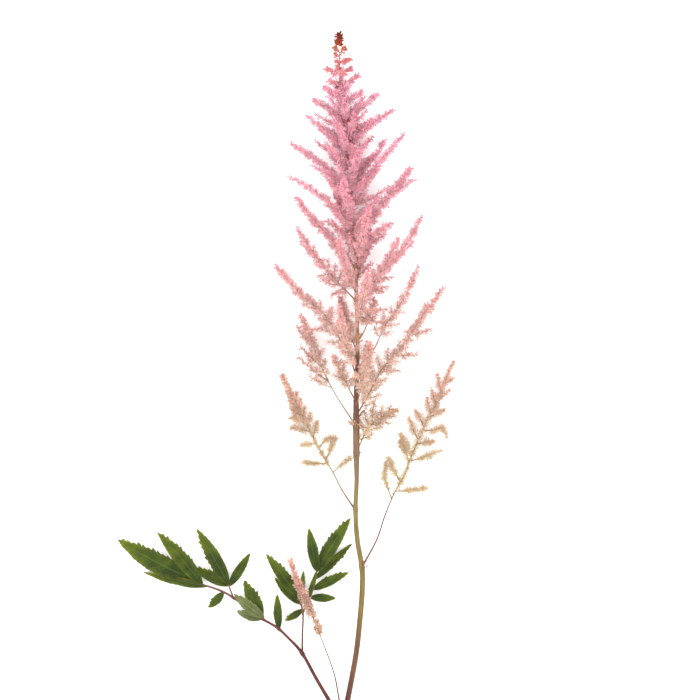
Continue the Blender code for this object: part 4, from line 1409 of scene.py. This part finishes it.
leaflets = {  # foot on the stalk, tip, half width, roll about the midrib in degrees, arch
    "leaflet_01": ((-115.8, 132.9, 4.8), (-168.6, 161.0, 0.0), 7.4, 6.0, 2.4),
    "leaflet_02": ((-108.0, 129.3, 5.1), (-140.0, 167.0, 8.0), 5.2, -12.0, 2.5),
    "leaflet_03": ((-104.5, 128.0, 5.2), (-150.2, 137.6, 0.4), 3.7, 32.0, 0.3),
    "leaflet_04": ((-89.2, 128.8, 6.3), (-114.6, 141.0, 0.0), 4.0, 8.0, 0.8),
    "leaflet_05": ((-89.4, 129.3, 6.3), (-112.1, 169.4, 8.0), 5.0, -14.0, 3.0),
    "leaflet_06": ((-89.0, 128.4, 6.3), (-74.3, 151.4, 1.5), 3.3, -10.0, 1.5),
    "leaflet_07": ((-93.0, 123.9, 5.5), (-104.0, 112.5, 0.0), 3.0, 5.0, 1.0),
    "leaflet_08": ((-66.0, 105.4, 6.5), (-84.0, 110.0, 1.2), 3.6, 10.0, 1.0),
    "leaflet_09": ((-66.0, 105.8, 6.5), (-78.8, 132.0, 2.5), 5.0, -12.0, 2.5),
    "leaflet_10": ((-54.0, 98.0, 7.1), (-55.4, 122.5, 3.0), 3.0, 12.0, 1.5),
    "leaflet_11": ((-37.4, 112.0, 7.5), (-49.8, 103.4, 1.0), 2.6, 12.0, 1.0),
    "leaflet_12": ((-41.0, 122.0, 7.2), (-63.4, 151.1, 6.0), 4.4, -14.0, 2.5),
    "leaflet_13": ((-38.9, 115.8, 7.3), (-57.5, 134.0, 0.8), 3.2, 10.0, 0.8),
    "leaflet_14": ((-38.6, 114.8, 7.4), (-36.8, 139.0, 3.0), 2.3, 0.0, 1.0),
    "leaflet_15": ((-27.6, 138.9, 7.0), (-33.2, 169.8, 9.0), 3.8, -6.0, 2.2),
    "leaflet_16": ((-27.2, 138.6, 7.0), (-3.4, 176.6, 3.4), 5.0, 14.0, 2.4),
    "leaflet_17": ((-28.2, 133.6, 7.2), (-2.6, 157.9, 0.0), 2.9, 0.0, 0.4),
    "leaflet_18": ((-30.2, 126.0, 7.3), (-4.9, 137.6, 1.0), 3.4, 10.0, 1.2),
    "leaflet_19": ((-32.2, 120.5, 7.4), (-14.0, 119.4, 1.5), 2.9, 8.0, 1.2),
}
looseBlades = {  # the same, for leaf tissue beside the leaflets
    "leafWing": ((-36.4, 112.5, 7.9), (-27.4, 139.6, 7.3), 1.7, 0.0, 0.1),
    "leafFold": ((-64.6, 105.9, 7.3), (-86.0, 123.0, 7.2), 3.9, -6.0, 2.5),
}
turnedOver = ("leaflet_08", "leafFold")  # show their grey-green underside
# The edge with the teeth: 1 right of the midrib, -1 left of it, 0 nearly smooth all round
toothedEdge = {
    "leaflet_05": -1, "leaflet_16": -1, "leaflet_18": -1,
    "leaflet_06": 0, "leaflet_10": 0, "leaflet_14": 0, "leaflet_15": 0, "leaflet_19": 0,
}
leafStalkLook = {
    "root": 31.0,
    "rootRadius": 2.3,
    "sides": 14,
    "ridges": 0.09,
    "joint": 0.45,
    "jointLength": 2.0,
    "otherJoints": [(-66.0, 105.6, 6.5), (-54.5, 98.2, 7.1)],
    "stubSides": 8,
    "stubRadii": (0.5, 0.34),
    "stubInside": 1.6,
}


def makeLeafStalk():
    # a channelled stalk with swollen joints, and a short foot to each leaflet
    look = leafStalkLook
    shape = newShape()
    root = (*atHeight(stem, look["root"])[:3], look["rootRadius"])
    sticks = [  # line, and how far out on the leaf its two ends are
        (smoothLine([root, *leafLines["foot"], *leafLines["main"]], 120), 0.0, 0.85),
        (smoothLine(leafLines["side"], 50), 0.45, 1.0),
        (smoothLine(leafLines["twig"], 14), 0.7, 0.95),
        (smoothLine(leafLines["fork"], 34), 0.8, 1.0),
    ]
    joints = [leafLines[name][0][:3] for name in ("side", "twig", "fork")] + look["otherJoints"]
    for line, low, high in sticks:
        radii = line[:, 3].copy()
        for joint in joints:
            gaps = np.linalg.norm(line[:, :3] - np.array(joint), axis=1)
            radii *= 1 + look["joint"] * np.exp(-(gaps / look["jointLength"])**2)
        reach = np.linspace(low, high, len(line))
        tubeInto(shape, line, radii, look["sides"], look["ridges"], ridgeCount=2, reach=reach)
    for foot, tip, *_ in leaflets.values():
        foot, tip = np.array(foot), np.array(tip)
        nearest = min(
            (at(line, nearestShare(line, foot))[:3] for line, _, _ in sticks),
            key=lambda spot: np.linalg.norm(spot - foot),
        )
        inside = foot + unit(tip - foot) * look["stubInside"]
        stub = smoothLine([nearest, foot, inside], 8)
        radii = np.linspace(*look["stubRadii"], 8)
        tubeInto(shape, stub, radii, look["stubSides"], reach=np.linspace(0.8, 1.0, 8))
    piece = newPiece("leafStalk", meshOf("leafStalk", shape), [leafStalkFinish])
    settle(piece, "leaf_stalk", "leaf_stalk")


makeLeafStalk()


# Leaflets

leafletLook = {
    "toothLength": 3.7,  # mm of midrib for each tooth
    "cellsForTooth": 7,
    "cellsAcross": 16,
    "toothDepth": 0.24,
    "toothRise": 0.78,  # share of a tooth's length up to its point
    "toothOffset": 0.37,  # between the two edges, in teeth
    "toothForward": 0.55,
    "smoothEdge": 0.22,
    "fold": 13.0,
    "veinAngle": 42.0,
    "veinSpacing": 3.4,
    "puff": 0.16,
    "groove": 0.22,
    "grooveWidth": 0.45,
    "ripple": 0.35,
    "sideBend": 0.8,
    "thickness": 0.28,
}


def bladeShare(share):
    # half width along the blade: egg-shaped, with a drawn-out tip
    body = np.sin(np.pi * np.clip(share, 0, 1)**0.8)**0.85
    return body * (1 - 0.22 * np.clip((share - 0.72) / 0.28, 0, 1)**1.3)


def makeBlade(name, foot, tip, halfWidth, roll, arch, seed, toothed=1, teeth=1.0):
    look = leafletLook
    rng = random.Random(seed)
    foot, tip = np.array(foot), np.array(tip)
    length = np.linalg.norm(tip - foot)
    toothCount = max(5, round(length / look["toothLength"]))
    columns = toothCount * look["cellsForTooth"] + 1
    rows = look["cellsAcross"] + 1
    share, spread = np.meshgrid(np.linspace(0, 1, columns), np.linspace(-1, 1, rows), indexing="ij")
    edge = np.abs(spread)

    # teeth, every third one larger, and none at the two ends
    count = share * toothCount + np.where(spread < 0, look["toothOffset"], 0.0)
    wave, rise = count % 1.0, look["toothRise"]
    saw = np.where(wave < rise, wave / rise, (1 - wave) / (1 - rise))
    big = 0.75 + 0.35 * np.cos(2 * np.pi * count / 3 + seed)
    fade = np.clip(share * 5 - 1.2, 0, 1) * np.clip((1 - share) * 9, 0, 1)
    depth = look["toothDepth"] * halfWidth + 0.42
    strength = np.where(spread * toothed > 0, 1.0, look["smoothEdge"]) * teeth
    tooth = saw * big * fade * depth * strength * edge**4
    half = 0.4 + (halfWidth - 0.4) * bladeShare(share)
    half = np.where(share > 0.93, half * (1 - share) / 0.07 + 0.02, half)
    reach = spread * half + np.sign(spread) * (tooth - 0.35 * depth * fade * strength * edge**4)
    lean = share + tooth * look["toothForward"] / length

    # the plane of the blade
    along = unit(tip - foot)
    across = unit(np.cross(along, upwards))
    normal = np.cross(across, along)
    turn = math.radians(roll)
    side = across * math.cos(turn) + normal * math.sin(turn)
    face = normal * math.cos(turn) - across * math.sin(turn)

    # folded along the midrib, puffed between the veins and rippled near the edge
    slope = halfWidth / math.tan(math.radians(look["veinAngle"])) / length
    veins = (share - edge * slope * bladeShare(share)) * length / look["veinSpacing"] + 0.5
    lift = arch * np.sin(np.pi * share) + np.abs(reach) * math.tan(math.radians(look["fold"]))
    lift = lift + look["puff"] * np.sin(np.pi * veins)**2 * (1 - edge**6) * np.clip(edge * 6, 0, 1)
    lift = lift - look["groove"] * np.exp(-(reach / look["grooveWidth"])**2)
    phase = rng.uniform(0, 6)
    lift = lift + look["ripple"] * edge**2 * np.sin(share * 15 + phase + spread * 1.5) * bladeShare(share)
    bend = look["sideBend"] * np.sin(np.pi * share) * rng.choice((-1, 1)) * halfWidth / 7
    sideways = reach + bend * 0.6
    points = foot + (tip - foot) * lean[..., None] + side * sideways[..., None] + face * lift[..., None]
    points = offTable(points.reshape(-1, 3), tableTop + look["thickness"])
    faces = [
        (i * rows + j, i * rows + j + 1, (i + 1) * rows + j + 1, (i + 1) * rows + j)
        for i in range(columns - 1) for j in range(rows - 1)
    ]
    shape = newShape()
    veins = np.where(edge > 0.02, veins, 0.5)
    addTo(shape, points, faces, along=share.ravel(), across=edge.ravel(), veins=veins.ravel())
    finishes = [leafUnder, leafUpper] if name in map(pieceName, turnedOver) else [leafUpper, leafUnder]
    maker = newPiece(name + "Maker", meshOf(name, shape), finishes)
    wall = maker.modifiers.new("thickness", "SOLIDIFY")
    wall.thickness = look["thickness"] * mm
    wall.offset = -1.0
    wall.material_offset = 1
    return finishedPiece(maker, name)


def makeLeaflets():
    for number, (node, row) in enumerate(leaflets.items()):
        piece = makeBlade(pieceName(node), *row, 20 + number, toothedEdge.get(node, 1))
        settle(piece, "leaf", node)
    settle(makeBlade("leafWing", *looseBlades["leafWing"], 77, teeth=0.0), "leaf")
    settle(makeBlade("leafFold", *looseBlades["leafFold"], 78), "leaf")


makeLeaflets()
print("leaf made")


# Camera, table and light

viewLook = {
    "centre": (-4.2, 294.0),  # mm on the sheet, at the middle of the photo
    "width": 490.0,  # mm across the photo
    "lens": 150.0,
    "sensor": 36.0,
    "planeHeight": 12.0,
}


def makeCamera():
    data = bpy.data.cameras.new("camera")
    data.lens = viewLook["lens"]
    data.sensor_width = viewLook["sensor"]
    distance = viewLook["width"] * viewLook["lens"] / viewLook["sensor"] + viewLook["planeHeight"]
    camera = bpy.data.objects.new("camera", data)
    x, y = viewLook["centre"]
    camera.location = np.array([x, y, distance]) * mm + sheetCorner
    data.clip_end = 100.0
    bpy.context.scene.collection.objects.link(camera)
    bpy.context.scene.camera = camera


tableLook = {"size": 40.0, "pale": 0.96, "palest": 0.98, "clouds": 6.0}


def makeTable():
    half = tableLook["size"] / 2
    data = bpy.data.meshes.new("table")
    corners = [(-half, -half, 0.0), (half, -half, 0.0), (half, half, 0.0), (-half, half, 0.0)]
    data.from_pydata(corners, [], [(0, 1, 2, 3)])
    material, tree, shader = newFinish("tablePaint", 0.9, Specular_IOR_Level=0.1)
    stops = [(spot, [tableLook[tone]] * 3 + [1.0]) for spot, tone in ((0.3, "pale"), (0.7, "palest"))]
    tint = rampOf(tree, noiseOf(tree, tableLook["clouds"], 2.0), stops)
    tree.links.new(tint, shader.inputs["Base Color"])
    newPiece("table", data, [material])


lightLook = {  # where each lamp stands, and its power
    "keyLight": ((-0.9, 0.9, 1.7), 9.0),
    "fillLight": ((1.2, -0.6, 1.6), 4.0),
}
lampSize = 1.6
skyStrength = 2.0


def makeLights():
    world = bpy.data.worlds.new("softRoom")
    world.use_nodes = True
    background = world.node_tree.nodes["Background"]
    background.inputs["Color"].default_value = (1.0, 1.0, 1.0, 1.0)
    background.inputs["Strength"].default_value = skyStrength
    bpy.context.scene.world = world
    for name, (spot, power) in lightLook.items():
        data = bpy.data.lights.new(name, "AREA")
        data.size = lampSize
        data.energy = power
        lamp = bpy.data.objects.new(name, data)
        lamp.location = spot
        lamp.rotation_mode = "QUATERNION"
        lamp.rotation_quaternion = (-Vector(spot)).to_track_quat("-Z", "Y")
        bpy.context.scene.collection.objects.link(lamp)


makeCamera()
makeTable()
makeLights()
bpy.context.scene.view_settings.view_transform = "Standard"
print("camera, table and light made")

for old in list(floretShapes.objects):
    bpy.data.objects.remove(old, do_unlink=True)
bpy.data.collections.remove(floretShapes)

bpy.context.view_layer.update()
